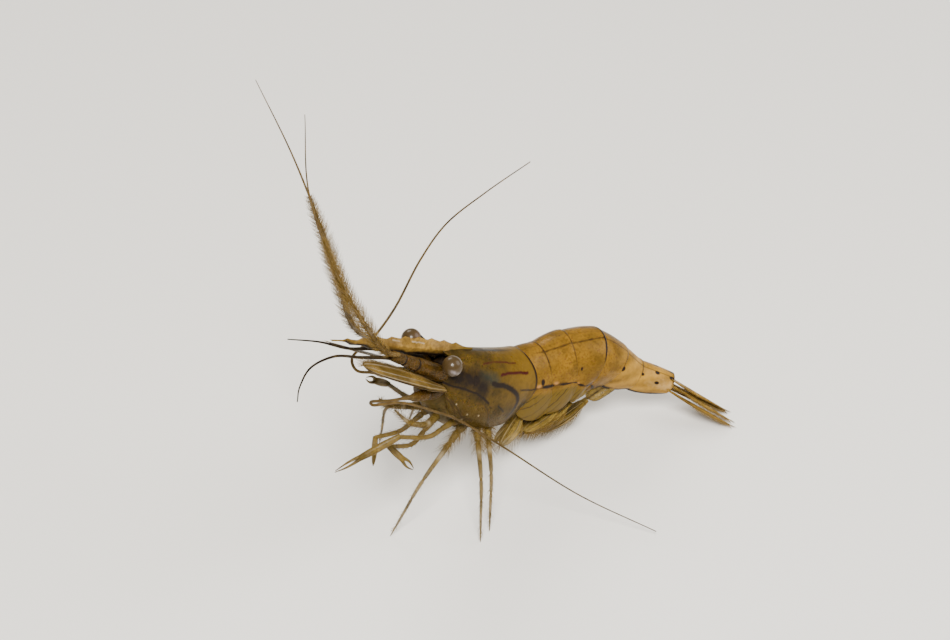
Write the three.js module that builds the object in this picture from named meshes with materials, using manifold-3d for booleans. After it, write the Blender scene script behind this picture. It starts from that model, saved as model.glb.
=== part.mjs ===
// A glass shrimp of the family Palaemonidae, standing on its walking legs with its
// tail fan resting on the ground. Millimetres, +Z up, head towards -X.
import * as THREE from 'three';
import { mergeVertices } from 'three/addons/utils/BufferGeometryUtils.js';
import Module from 'manifold-3d';

const wasm = await Module();
wasm.setup();

// ---------------------------------------------------------------- driving sizes
// Lengths written as shares are shares of the carapace, measured along the back
// from its hind edge to the eye socket.
const CARAPACE_LENGTH = 11.0;
const ROSTRUM_REACH = 2.24; // tip of the rostrum, in front of the hind edge
const GROUND = -11.7; // level of the ground under the carapace's hind edge
const SEAM = 0.12; // gap left between two neighbouring pieces
const TINY_GAP = 0.05; // clearance of a limb where the body cuts it to fit
const FEELER_THICKNESS = 0.5;
const WELD_WITHIN = 1e-5; // points closer than this are one

// The head points a little towards the animal's left and upwards.
const HEAD_YAW = 15;
const HEAD_PITCH = 30.6;

// From the front to the back: length, half width, depth to the lower edge of the
// side plates, and depth to the belly between them, all as shares, then the
// direction of each somite, with its front end turned by yaw and lifted by pitch.
const SOMITES = [
  { length: 0.185, halfWidth: 0.236, depth: 0.543, belly: 0.4, yaw: 8.5, pitch: 16 },
  { length: 0.27, halfWidth: 0.236, depth: 0.594, belly: 0.4, yaw: 2.2, pitch: -4.5 },
  { length: 0.367, halfWidth: 0.243, depth: 0.558, belly: 0.38, yaw: -5.5, pitch: 13.4 },
  { length: 0.305, halfWidth: 0.25, depth: 0.448, belly: 0.31, yaw: -13, pitch: 42 },
  { length: 0.23, halfWidth: 0.193, depth: 0.383, belly: 0.27, yaw: -18, pitch: 51 },
  { length: 0.36, halfWidth: 0.147, depth: 0.268, belly: 0.23, yaw: -24, pitch: 31 },
];
const HIND_END = { halfWidth: 0.11, depth: 0.16, belly: 0.15 };

// The tail fan is turned the same way, and rolled so that its left side is raised.
const TAIL = { yaw: -36, pitch: 32, roll: 28 };

// ---------------------------------------------------------------- finishes
const FINISH = {
  shell: { color: 0x8f7145, roughness: 0.32 },
  head: { color: 0x6e6440, roughness: 0.34 },
  flesh: { color: 0x8a7c58, roughness: 0.5 },
  limb: { color: 0x9a8a5a, roughness: 0.4 },
  feeler: { color: 0x7d6a44, roughness: 0.45 },
  fin: { color: 0x9b7f50, roughness: 0.38 },
  eye: { color: 0x1c1a18, roughness: 0.12 },
};

// ---------------------------------------------------------------- body directions
const share = (amount) => amount * CARAPACE_LENGTH;

/**
 * Axes of a stretch of the body whose front end is turned by yaw and lifted by pitch,
 * with its left side lifted by roll.
 */
function bodyFrame(origin, yawDegrees, pitchDegrees, rollDegrees = 0) {
  const yaw = THREE.MathUtils.degToRad(yawDegrees);
  const pitch = THREE.MathUtils.degToRad(pitchDegrees);
  const roll = THREE.MathUtils.degToRad(rollDegrees);
  const level = Math.cos(pitch);
  const forward = new THREE.Vector3(-level * Math.cos(yaw), -level * Math.sin(yaw), Math.sin(pitch));
  const flatLeft = new THREE.Vector3(Math.sin(yaw), -Math.cos(yaw), 0);
  const steepUp = new THREE.Vector3().crossVectors(forward, flatLeft);
  const left = flatLeft.clone().multiplyScalar(Math.cos(roll)).addScaledVector(steepUp, Math.sin(roll));
  const up = steepUp.clone().multiplyScalar(Math.cos(roll)).addScaledVector(flatLeft, -Math.sin(roll));
  const at = (ahead, side, above) =>
    origin
      .clone()
      .addScaledVector(forward, share(ahead))
      .addScaledVector(left, share(side))
      .addScaledVector(up, share(above));
  return { origin, forward, left, up, at };
}

const head = bodyFrame(new THREE.Vector3(), HEAD_YAW, HEAD_PITCH);

/** The frames at the joints behind each somite, each leaning halfway between its neighbours. */
function spineJoints() {
  const stretches = [{ yaw: HEAD_YAW, pitch: HEAD_PITCH }, ...SOMITES, TAIL];
  const spot = new THREE.Vector3();
  const joints = [];
  for (let i = 0; i <= SOMITES.length; i += 1) {
    const before = stretches[i];
    const after = stretches[i + 1];
    const yaw = (before.yaw + after.yaw) / 2;
    const pitch = (before.pitch + after.pitch) / 2;
    joints.push(bodyFrame(spot.clone(), yaw, pitch));
    if (i < SOMITES.length) {
      const stretch = bodyFrame(spot, after.yaw, after.pitch);
      spot.addScaledVector(stretch.forward, -share(SOMITES[i].length));
    }
  }
  return joints;
}

const joints = spineJoints();
const tail = bodyFrame(joints[SOMITES.length].origin, TAIL.yaw, TAIL.pitch, TAIL.roll);

// ---------------------------------------------------------------- shape makers
/** Closed skin over a row of rings of equal point count, with flat ends. */
function loft(rings, flatRing) {
  const count = rings[0].length;
  const positions = rings.flat().flatMap((point) => point.toArray());
  const faces = [];
  for (let row = 0; row + 1 < rings.length; row += 1) {
    for (let i = 0; i < count; i += 1) {
      const a = row * count + i;
      const b = row * count + ((i + 1) % count);
      faces.push(a, b, b + count, a, b + count, a + count);
    }
  }
  const last = (rings.length - 1) * count;
  const ringTurn = Math.sign(THREE.ShapeUtils.area(flatRing));
  for (const corners of THREE.ShapeUtils.triangulateShape(flatRing, [])) {
    const turn = Math.sign(THREE.ShapeUtils.area(corners.map((corner) => flatRing[corner])));
    const [a, b, c] = turn === ringTurn ? corners : corners.reverse();
    faces.push(a, c, b, last + a, last + b, last + c);
  }
  const geometry = new THREE.BufferGeometry();
  geometry.setAttribute('position', new THREE.Float32BufferAttribute(positions, 3));
  geometry.setIndex(faces);
  return facingOut(geometry);
}

/** The same geometry with its faces turned outwards, whichever way they were wound. */
function facingOut(geometry) {
  const index = geometry.index.array;
  const spots = geometry.attributes.position;
  const [a, b, c] = [new THREE.Vector3(), new THREE.Vector3(), new THREE.Vector3()];
  let volume = 0;
  for (let i = 0; i < index.length; i += 3) {
    a.fromBufferAttribute(spots, index[i]);
    b.fromBufferAttribute(spots, index[i + 1]);
    c.fromBufferAttribute(spots, index[i + 2]);
    volume += a.dot(b.cross(c));
  }
  if (volume < 0) {
    for (let i = 0; i < index.length; i += 3) {
      [index[i + 1], index[i + 2]] = [index[i + 2], index[i + 1]];
    }
  }
  return geometry;
}

/** A boolean solid from a closed geometry, with the points that lie together made one. */
function solid(geometry) {
  const bare = geometry.clone();
  bare.deleteAttribute('normal');
  bare.deleteAttribute('uv');
  const merged = mergeVertices(bare, WELD_WITHIN);
  return new wasm.Manifold(
    new wasm.Mesh({
      numProp: 3,
      vertProperties: new Float32Array(merged.attributes.position.array),
      triVerts: new Uint32Array(merged.index.array),
    }),
  );
}

/** The geometry of a boolean solid. */
function geometryOf(body) {
  const mesh = body.getMesh();
  const geometry = new THREE.BufferGeometry();
  geometry.setAttribute('position', new THREE.Float32BufferAttribute(mesh.vertProperties, 3));
  geometry.setIndex(Array.from(mesh.triVerts));
  return geometry;
}

/** Cuts the cutters out of a piece, and keeps the largest part that is left. */
function carve(geometry, cutters) {
  let body = solid(geometry);
  for (const cutter of cutters) body = body.subtract(cutter);
  const parts = body.decompose();
  parts.sort((one, other) => other.volume() - one.volume());
  return geometryOf(parts[0]);
}

/** One geometry over several that run into one another. */
function join(geometries) {
  return geometryOf(geometries.map(solid).reduce((whole, next) => whole.add(next)));
}

/** Block of ground, to cut flat whatever would reach below its top. */
const GROUND_BLOCK = { across: 200, deep: 10 };
const groundBox = new THREE.BoxGeometry(GROUND_BLOCK.across, GROUND_BLOCK.across, GROUND_BLOCK.deep);
const ground = solid(groundBox.translate(0, 0, GROUND - GROUND_BLOCK.deep / 2));

const DOME_STEPS = 8;
const DOME_SHARE = 0.52; // how much of the depth the round of the back takes
const HEM_THICKNESS = 0.5;
const HEM_TUCK = 0.8; // half width at the hem, as a share of the half width above it
const BELLY_LEAN = 0.94; // half width of the belly, as a share of that inside the hems

/**
 * Outline across the body: a round back, flat sides drawn in to a hem, and a belly
 * raised between the two hems. grow makes it larger all round.
 */
function bodyOutline({ halfWidth, depth, belly, grow = 0 }) {
  const half = share(halfWidth) + grow;
  const low = share(depth) + grow;
  const round = low * DOME_SHARE;
  const hem = half * HEM_TUCK;
  const innerHem = hem - HEM_THICKNESS - 2 * grow;
  const inside = Math.min(share(belly) + grow, low);
  const outline = [];
  for (let i = 0; i <= DOME_STEPS; i += 1) {
    const turn = THREE.MathUtils.degToRad(-90 + (180 * i) / DOME_STEPS);
    outline.push(new THREE.Vector2(half * Math.sin(turn), grow - round * (1 - Math.cos(turn))));
  }
  outline.push(new THREE.Vector2(hem, -low));
  outline.push(new THREE.Vector2(innerHem, -low));
  outline.push(new THREE.Vector2(innerHem * BELLY_LEAN, -inside));
  outline.push(new THREE.Vector2(0, -inside));
  outline.push(new THREE.Vector2(-innerHem * BELLY_LEAN, -inside));
  outline.push(new THREE.Vector2(-innerHem, -low));
  outline.push(new THREE.Vector2(-hem, -low));
  return outline;
}

const placed = (outline, origin, left, up) =>
  outline.map((point) => origin.clone().addScaledVector(left, point.x).addScaledVector(up, point.y));

/**
 * Limb, feeler or blade: an oval section led along a curve. size(t) gives half the
 * width and half the thickness at t from 0 to 1; broadside is the way the width lies.
 */
function sweep(curve, { steps = 8, sides = 6, size, broadside = null }) {
  const turned = broadside ? null : curve.computeFrenetFrames(steps, false);
  const rings = [];
  let flatRing = [];
  for (let i = 0; i <= steps; i += 1) {
    const t = i / steps;
    const along = curve.getTangentAt(t);
    const across = broadside
      ? broadside.clone().addScaledVector(along, -broadside.dot(along)).normalize()
      : turned.normals[i].clone();
    const over = new THREE.Vector3().crossVectors(along, across);
    const [halfWidth, halfThickness] = size(t);
    flatRing = [];
    for (let k = 0; k < sides; k += 1) {
      const turn = (2 * Math.PI * (k + 0.5)) / sides;
      flatRing.push(new THREE.Vector2(halfWidth * Math.cos(turn), halfThickness * Math.sin(turn)));
    }
    rings.push(placed(flatRing, curve.getPointAt(t), across, over));
  }
  return loft(rings, flatRing);
}

/** A curve that runs smoothly through the points. */
const smooth = (points) => new THREE.CatmullRomCurve3(points, false, 'centripetal');
/** A round section that narrows evenly. */
const taper = (from, to) => (t) => {
  const radius = THREE.MathUtils.lerp(from, to, t);
  return [radius, radius];
};
/** Outline of a leaf: broadest at the peak, with round ends of the given share of its width. */
const leaf = (halfWidth, halfThickness, peak = 0.55, root = 0.45, end = 0.3) => (t) => {
  const nearer = t < peak ? t / peak : (1 - t) / (1 - peak);
  const least = t < peak ? root : end;
  const width = halfWidth * (least + (1 - least) * Math.sin((nearer * Math.PI) / 2));
  return [Math.max(width, halfThickness), halfThickness];
};

// ---------------------------------------------------------------- the model
const shrimp = new THREE.Group();

function addPiece(name, geometry, finish) {
  const { color, roughness } = FINISH[finish];
  const material = new THREE.MeshStandardMaterial({ color, roughness, metalness: 0 });
  const piece = new THREE.Mesh(geometry, material);
  piece.name = name;
  shrimp.add(piece);
}

const SIDES = [
  ['left', 1],
  ['right', -1],
];

// ---------------------------------------------------------------- carapace
// Stations from the hind edge to the eye sockets: how far ahead, half width, depth,
// belly depth and how high the back lies over the axis.
const CARAPACE_STATIONS = [
  { ahead: 0.015, halfWidth: 0.245, depth: 0.54, belly: 0.44, rise: 0 },
  { ahead: 0.1, halfWidth: 0.255, depth: 0.58, belly: 0.48, rise: -0.01 },
  { ahead: 0.25, halfWidth: 0.262, depth: 0.6, belly: 0.48, rise: -0.02 },
  { ahead: 0.42, halfWidth: 0.258, depth: 0.605, belly: 0.475, rise: -0.026 },
  { ahead: 0.58, halfWidth: 0.248, depth: 0.59, belly: 0.465, rise: -0.03 },
  { ahead: 0.72, halfWidth: 0.23, depth: 0.545, belly: 0.45, rise: -0.034 },
  { ahead: 0.84, halfWidth: 0.207, depth: 0.48, belly: 0.425, rise: -0.038 },
  { ahead: 0.93, halfWidth: 0.18, depth: 0.415, belly: 0.385, rise: -0.041 },
  { ahead: 1.0, halfWidth: 0.14, depth: 0.34, belly: 0.325, rise: -0.043 },
];
const STRAIGHT_FROM = CARAPACE_STATIONS[3].ahead; // in front of this the shield doesn't lean

/** The hind end of the carapace leans like the joint behind it, and its front end like the head. */
function carapaceGeometry(grow) {
  const rings = CARAPACE_STATIONS.map((station, i) => {
    const lean = Math.max(0, 1 - station.ahead / STRAIGHT_FROM);
    const up = head.up.clone().lerp(joints[0].up, lean).normalize();
    const left = head.left.clone().lerp(joints[0].left, lean).normalize();
    const stretch = i === 0 ? -grow : grow * (i === CARAPACE_STATIONS.length - 1);
    const origin = head.at(station.ahead, 0, station.rise).addScaledVector(head.forward, stretch);
    return placed(bodyOutline({ ...station, grow }), origin, left, up);
  });
  return loft(rings, bodyOutline({ ...CARAPACE_STATIONS[0], grow }));
}

const carapaceCutter = solid(carapaceGeometry(TINY_GAP));
addPiece('carapace', carapaceGeometry(0), 'head');

// ---------------------------------------------------------------- thorax and mouthparts
// The breast that carries the legs, between the lower edges of the carapace.
const BREAST_STATIONS = [
  { ahead: 0.03, side: 0.07, middle: -0.55, half: 0.05 },
  { ahead: 0.16, side: 0.13, middle: -0.6, half: 0.085 },
  { ahead: 0.4, side: 0.15, middle: -0.62, half: 0.1 },
  { ahead: 0.62, side: 0.14, middle: -0.6, half: 0.1 },
  { ahead: 0.8, side: 0.11, middle: -0.55, half: 0.08 },
];
const MOUTH_STATIONS = [
  { ahead: 0.83, side: 0.1, middle: -0.525, half: 0.075 },
  { ahead: 0.92, side: 0.11, middle: -0.48, half: 0.07 },
  { ahead: 1.02, side: 0.09, middle: -0.435, half: 0.06 },
  { ahead: 1.09, side: 0.05, middle: -0.4, half: 0.035 },
];
const BREAST_SIDES = 10;

/** A body of oval sections, each at its place along the head's axis. */
function roundBody(stations, grow) {
  const ringAt = (station) => {
    const ring = [];
    for (let k = 0; k < BREAST_SIDES; k += 1) {
      const turn = (2 * Math.PI * k) / BREAST_SIDES;
      const across = (share(station.side) + grow) * Math.cos(turn);
      ring.push(new THREE.Vector2(across, (share(station.half) + grow) * Math.sin(turn)));
    }
    return ring;
  };
  const rings = stations.map((station) =>
    placed(ringAt(station), head.at(station.ahead, 0, station.middle), head.left, head.up),
  );
  return loft(rings, ringAt(stations[0]));
}

const breastCutter = solid(roundBody(BREAST_STATIONS, TINY_GAP));
const mouthCutter = solid(roundBody(MOUTH_STATIONS, TINY_GAP));
addPiece('thorax', carve(roundBody(BREAST_STATIONS, 0), [carapaceCutter]), 'flesh');
addPiece('mouthparts', carve(roundBody(MOUTH_STATIONS, 0), [carapaceCutter]), 'flesh');

// ---------------------------------------------------------------- rostrum
const ROSTRUM = {
  root: 0.7, // where its crest starts on the carapace
  thickness: 0.55,
  upperTeeth: 9,
  lowerTeeth: 4,
  toothHeight: 0.035,
  toothLean: 0.7, // share of a tooth's base that lies behind its point
  toothFoot: 0.82, // where its front edge meets the blade again
  lowerShare: 0.8, // height of a lower tooth, against an upper one
  lowerGap: 0.6, // share of a lower tooth's base in front of the notch behind it
  bareTip: 0.12, // length of the point that bears no teeth
  lowerStart: 1.25,
  keel: { ahead: 0.98, above: -0.11 }, // where the lower edge leaves the head
  tip: { top: -0.018, bottom: -0.04 },
};

// The upper edge swells to a crest and fades towards the tip; the lower one starts as
// a keel and rises towards the tip. All are shares, lengths along the blade included.
const CREST = { height: 0.055, reach: 1.15, fade: 0.4, start: -0.01, fall: 0.01 };
const KEEL = { from: 1, height: 0.055, turn: 0.3, fade: 0.2, start: -0.055, lift: 0.035 };

/** Height of the blade's upper and lower edges over the axis, at a place along it. */
const upperEdge = (ahead) => {
  const t = (ahead - ROSTRUM.root) / (ROSTRUM_REACH - ROSTRUM.root);
  const swell = Math.sin(Math.PI * Math.min(1, t * CREST.reach)) * (1 - CREST.fade * t);
  return CREST.start - CREST.fall * t + CREST.height * swell;
};
const lowerEdge = (ahead) => {
  const t = THREE.MathUtils.clamp((ahead - KEEL.from) / (ROSTRUM_REACH - KEEL.from), 0, 1);
  const turn = KEEL.turn + t * (1 - KEEL.turn);
  const swell = Math.sin(Math.PI * turn) * (1 - KEEL.fade * t);
  return KEEL.start + KEEL.lift * t - KEEL.height * swell;
};

/** The upright blade, with a row of teeth on each edge, as a flat outline given its thickness. */
function rostrumGeometry() {
  const outline = new THREE.Shape();
  const to = (ahead, above) => outline.lineTo(share(ahead), share(above));
  outline.moveTo(share(ROSTRUM.root), share(lowerEdge(0)));
  to(ROSTRUM.root, upperEdge(ROSTRUM.root));
  const pitch = (ROSTRUM_REACH - ROSTRUM.bareTip - ROSTRUM.root) / ROSTRUM.upperTeeth;
  for (let i = 0; i < ROSTRUM.upperTeeth; i += 1) {
    const start = ROSTRUM.root + i * pitch;
    const point = start + pitch * ROSTRUM.toothLean;
    to(point, upperEdge(point) + ROSTRUM.toothHeight);
    to(start + pitch * ROSTRUM.toothFoot, upperEdge(start + pitch));
  }
  to(ROSTRUM_REACH, ROSTRUM.tip.top);
  to(ROSTRUM_REACH, ROSTRUM.tip.bottom);
  const lowerPitch = (ROSTRUM_REACH - ROSTRUM.bareTip - ROSTRUM.lowerStart) / ROSTRUM.lowerTeeth;
  for (let i = ROSTRUM.lowerTeeth; i > 0; i -= 1) {
    const end = ROSTRUM.lowerStart + i * lowerPitch;
    const notch = end - lowerPitch * ROSTRUM.lowerGap;
    to(end, lowerEdge(end) - ROSTRUM.toothHeight * ROSTRUM.lowerShare);
    to(notch, lowerEdge(notch));
  }
  to(ROSTRUM.keel.ahead, ROSTRUM.keel.above);
  const blade = new THREE.ExtrudeGeometry(outline, { depth: ROSTRUM.thickness, bevelEnabled: false });
  blade.translate(0, 0, -ROSTRUM.thickness / 2);
  const right = head.left.clone().negate();
  blade.applyMatrix4(new THREE.Matrix4().makeBasis(head.forward, head.up, right));
  return blade;
}

addPiece('rostrum', carve(rostrumGeometry(), [carapaceCutter]), 'head');

// ---------------------------------------------------------------- eyes
const EYE_RADIUS = 0.9;
const EYE_PLACE = { ahead: 1.09, side: 0.24, above: -0.075 };
const EYE_FACES = [10, 7]; // round the ball, and from top to bottom
const STALK = { ahead: 0.98, side: 0.1, above: -0.13, from: 0.5, to: 0.72 };

for (const [side, sign] of SIDES) {
  const centre = head.at(EYE_PLACE.ahead, sign * EYE_PLACE.side, EYE_PLACE.above);
  const ballOf = (radius) => new THREE.SphereGeometry(radius, ...EYE_FACES).translate(...centre.toArray());
  const ball = ballOf(EYE_RADIUS);
  const clearBall = ballOf(EYE_RADIUS + TINY_GAP);
  const root = head.at(STALK.ahead, sign * STALK.side, STALK.above);
  const size = taper(STALK.from, STALK.to);
  const stalk = sweep(new THREE.LineCurve3(root, centre), { steps: 3, sides: 8, size });
  addPiece(`eyestalk_${side}`, carve(stalk, [carapaceCutter, solid(clearBall)]), 'head');
  addPiece(`eye_${side}`, ball, 'eye');
}

// ---------------------------------------------------------------- antennules
// The upper pair: a jointed stem, then a long outer and a shorter inner lash.
const STEM = {
  ahead: 0.99,
  end: 1.66,
  side: 0.1,
  above: -0.22,
  endAbove: -0.075,
  from: 0.58,
  to: 0.46,
};
const LASH_RADIUS = FEELER_THICKNESS / 2;
const LASH_START = STEM.end + SEAM / CARAPACE_LENGTH;
const STRAIGHT_START = 0.04; // how far a lash runs straight on from its stem

// Side and height of each root, then the places the lash runs through.
const OUTER_LASH = {
  steps: 14,
  left: {
    root: [0.14, -0.05],
    way: [
      [1.88, 0.16, 0.01],
      [1.98, 0.03, 0.12],
      [2.03, -0.29, 0.3],
      [2.2, -0.77, 0.81],
      [2.32, -0.98, 1.34],
    ],
  },
  right: {
    root: [-0.14, -0.05],
    way: [
      [1.84, -0.22, 0.02],
      [1.93, -0.4, 0.26],
      [2.05, -0.66, 0.58],
      [2.18, -1.08, 0.98],
      [2.33, -1.59, 1.38],
    ],
  },
};
const INNER_LASH = {
  steps: 10,
  left: {
    root: [0.075, -0.11],
    way: [
      [1.95, 0.07, -0.12],
      [2.22, 0.06, -0.13],
      [2.37, 0.03, -0.24],
      [2.35, -0.02, -0.42],
      [2.26, -0.07, -0.57],
    ],
  },
  right: {
    root: [-0.075, -0.11],
    way: [[1.95, -0.08, -0.12], [2.22, -0.12, -0.1], [2.46, -0.2, -0.13]],
  },
};

const lashCurve = ({ root, way }) =>
  smooth([
    head.at(LASH_START, ...root),
    head.at(LASH_START + STRAIGHT_START, ...root),
    ...way.map((spot) => head.at(...spot)),
  ]);

for (const [side, sign] of SIDES) {
  const stemRoot = head.at(STEM.ahead, sign * STEM.side, STEM.above);
  const stemEnd = head.at(STEM.end, sign * STEM.side, STEM.endAbove);
  const stemSize = taper(STEM.from, STEM.to);
  const stem = sweep(new THREE.LineCurve3(stemRoot, stemEnd), { steps: 6, sides: 8, size: stemSize });
  addPiece(`antennule_stem_${side}`, carve(stem, [carapaceCutter]), 'head');
  const size = taper(LASH_RADIUS, LASH_RADIUS);
  const outer = sweep(lashCurve(OUTER_LASH[side]), { steps: OUTER_LASH.steps, size });
  addPiece(`antennule_outer_${side}`, outer, 'feeler');
  const inner = sweep(lashCurve(INNER_LASH[side]), { steps: INNER_LASH.steps, size });
  addPiece(`antennule_inner_${side}`, inner, 'feeler');
}

// ---------------------------------------------------------------- antennae
// The lower pair: a short base, a flat scale over it, and the longest feelers.
const BASE = {
  from: { ahead: 0.99, side: 0.17, above: -0.34, radius: 0.55 },
  to: { ahead: 1.38, side: 0.21, above: -0.37, radius: 0.42 },
};
const SCALE = {
  from: { ahead: 1.06, side: 0.225, above: -0.275 },
  to: { ahead: 2.0, side: 0.19, above: -0.13 },
  halfWidth: 1.3,
  peak: 0.45, // where along it the scale is broadest
  root: 0.5, // its width at the root and the end, as shares of the broadest
  end: 0.35,
};
const BLADE_HALF = 0.26; // half the thickness of scales and fins
const FEELER_PARTS = 3;
const FEELER_STEPS = 9;
const ANTENNA_ROUTE = {
  left: [
    head.at(1.6, 0.21, -0.4),
    head.at(1.82, 0.22, -0.41),
    head.at(1.87, 0.29, -0.4),
    head.at(1.64, 0.34, -0.35),
    head.at(1.25, 0.38, -0.4),
    head.at(1.05, 0.43, -0.43),
    head.at(0.57, 0.6, -0.58),
    new THREE.Vector3(-0.4, -11.9, -8.2),
    new THREE.Vector3(4.9, -16.5, GROUND + 0.6),
  ],
  right: [
    head.at(1.5, -0.29, -0.4),
    head.at(1.48, -0.4, -0.35),
    head.at(1.24, -0.47, -0.17),
    head.at(1.13, -0.48, 0.07),
    head.at(1.01, -0.52, 0.49),
    head.at(0.86, -0.54, 0.8),
    head.at(0.52, -0.56, 1.11),
    head.at(0.12, -0.56, 1.44),
  ],
};

/** Cuts a curve into equal lengths with a seam between them, and sweeps each one. */
function partedFeeler(curve, name, parts, steps) {
  const seam = SEAM / 2 / curve.getLength();
  for (let part = 0; part < parts; part += 1) {
    const start = part / parts + (part > 0 ? seam : 0);
    const end = (part + 1) / parts - (part + 1 < parts ? seam : 0);
    const spots = [];
    for (let i = 0; i <= steps; i += 1) {
      spots.push(curve.getPointAt(THREE.MathUtils.lerp(start, end, i / steps)));
    }
    const piece = sweep(smooth(spots), { steps, size: taper(LASH_RADIUS, LASH_RADIUS) });
    addPiece(`${name}_${part + 1}`, piece, 'feeler');
  }
}

/** The line between two places given along the head, mirrored for the right side. */
const headLine = (from, to, sign) =>
  new THREE.LineCurve3(
    head.at(from.ahead, sign * from.side, from.above),
    head.at(to.ahead, sign * to.side, to.above),
  );

for (const [side, sign] of SIDES) {
  const baseLine = headLine(BASE.from, BASE.to, sign);
  const baseOf = (grow) =>
    sweep(baseLine, { steps: 4, sides: 8, size: taper(BASE.from.radius + grow, BASE.to.radius + grow) });
  addPiece(`antenna_base_${side}`, carve(baseOf(0), [carapaceCutter, mouthCutter]), 'head');
  const scale = sweep(headLine(SCALE.from, SCALE.to, sign), {
    steps: 7,
    sides: 8,
    size: leaf(SCALE.halfWidth, BLADE_HALF, SCALE.peak, SCALE.root, SCALE.end),
    broadside: head.left,
  });
  addPiece(`antenna_scale_${side}`, carve(scale, [solid(baseOf(TINY_GAP)), carapaceCutter]), 'fin');
  const start = baseLine.v2.clone().addScaledVector(head.forward, SEAM);
  const route = smooth([start, ...ANTENNA_ROUTE[side]]);
  partedFeeler(route, `antenna_${side}`, FEELER_PARTS, FEELER_STEPS);
}

// ---------------------------------------------------------------- abdomen
// Each somite runs between two joints. Its side plates hang lowest at its middle.
const SOMITE_STATIONS = [0, 0.25, 0.5, 0.75, 1];
const PLATE_DROP = 0.1; // how much deeper the side plate is at its middle
const PLATE_RISE = 0.94; // its depth at its two ends
const PLATE_FLARE = 0.03;

/** One somite, its ring of stations leaning from the joint in front to the joint behind. */
function somiteGeometry(i, grow) {
  const front = joints[i];
  const back = joints[i + 1];
  const here = SOMITES[i];
  const next = SOMITES[i + 1] ?? HIND_END;
  const span = front.origin.distanceTo(back.origin);
  const inset = (SEAM / 2 - grow) / span;
  const along = back.origin.clone().sub(front.origin);
  const outlineAt = (t) => {
    const bulge = Math.sin(Math.PI * t);
    const mix = (key) => THREE.MathUtils.lerp(here[key], next[key], t);
    return bodyOutline({
      halfWidth: mix('halfWidth') * (1 + PLATE_FLARE * bulge),
      depth: mix('depth') * (PLATE_RISE + PLATE_DROP * bulge),
      belly: mix('belly'),
      grow,
    });
  };
  const rings = SOMITE_STATIONS.map((t) => {
    const place = inset + (1 - 2 * inset) * t;
    const origin = front.origin.clone().addScaledVector(along, place);
    const left = front.left.clone().lerp(back.left, t).normalize();
    const up = front.up.clone().lerp(back.up, t).normalize();
    return placed(outlineAt(t), origin, left, up);
  });
  return loft(rings, outlineAt(0));
}

const somiteCutters = SOMITES.map((somite, i) => solid(somiteGeometry(i, TINY_GAP)));
SOMITES.forEach((somite, i) => {
  const cutters = i === 0 ? [carapaceCutter, breastCutter] : [somiteCutters[i - 1]];
  addPiece(`abdomen_${i + 1}`, carve(somiteGeometry(i, 0), cutters), 'shell');
});

// ---------------------------------------------------------------- tail fan
// The telson lies on top, the inner blades under it and the outer blades lowest.
const FAN = {
  telson: { side: 0, above: -0.02, length: 0.56, spread: 0, halfWidth: 0.8, peak: 0.02 },
  inner: { side: 0.055, above: -0.068, length: 0.64, spread: 2, halfWidth: 0.64, peak: 0.6 },
  outer: { side: 0.07, above: -0.115, length: 0.66, spread: 4, halfWidth: 0.78, peak: 0.62 },
};
const FAN_ROOT = -0.015; // how far behind the last somite the blades start
const FAN_ENDS = { root: 0.5, end: 0.32 }; // widths there, as shares of the broadest

/** A blade of the fan, running back from its root and turned outwards by its spread. */
function fanBlade({ side, above, length, spread, halfWidth, peak }, sign) {
  const turn = THREE.MathUtils.degToRad(spread);
  const root = tail.at(FAN_ROOT, sign * side, above);
  const end = root
    .clone()
    .addScaledVector(tail.forward, -share(length) * Math.cos(turn))
    .addScaledVector(tail.left, sign * share(length) * Math.sin(turn));
  return sweep(new THREE.LineCurve3(root, end), {
    steps: 9,
    sides: 8,
    size: leaf(halfWidth, BLADE_HALF, peak, FAN_ENDS.root, FAN_ENDS.end),
    broadside: tail.left,
  });
}

const hindCutter = somiteCutters[SOMITES.length - 1];
addPiece('telson', carve(fanBlade(FAN.telson, 1), [hindCutter, ground]), 'fin');
for (const [side, sign] of SIDES) {
  addPiece(`uropod_inner_${side}`, carve(fanBlade(FAN.inner, sign), [hindCutter, ground]), 'fin');
  addPiece(`uropod_outer_${side}`, carve(fanBlade(FAN.outer, sign), [hindCutter, ground]), 'fin');
}

// ---------------------------------------------------------------- swimming legs
// A short flat stem under the belly, then a blade that lies forwards.
const SWIMMERET = {
  side: 0.115,
  rootInside: 0.02, // how far its root lies above the belly
  stem: { halfWidth: 0.95, halfThickness: 0.3 }, // a flat stem, broad along the body
  halfWidth: 0.95,
  bladeHalf: 0.25,
  peak: 0.5,
  rootWidth: 0.42, // widths at the two ends of the blade, as shares of the broadest
  endWidth: 0.3,
};
// How far each knee lies below the side plates, and how the blade hangs from it.
const SWIMMERETS = [
  { kneeBelow: 0.03, length: 0.3, droop: 52 },
  { kneeBelow: 0.02, length: 0.4, droop: 10 },
  { kneeBelow: 0.07, length: 0.46, droop: 33 },
  { kneeBelow: 0.17, length: 0.5, droop: 66 },
  { kneeBelow: 0.16, length: 0.46, droop: 84 },
];

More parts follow.
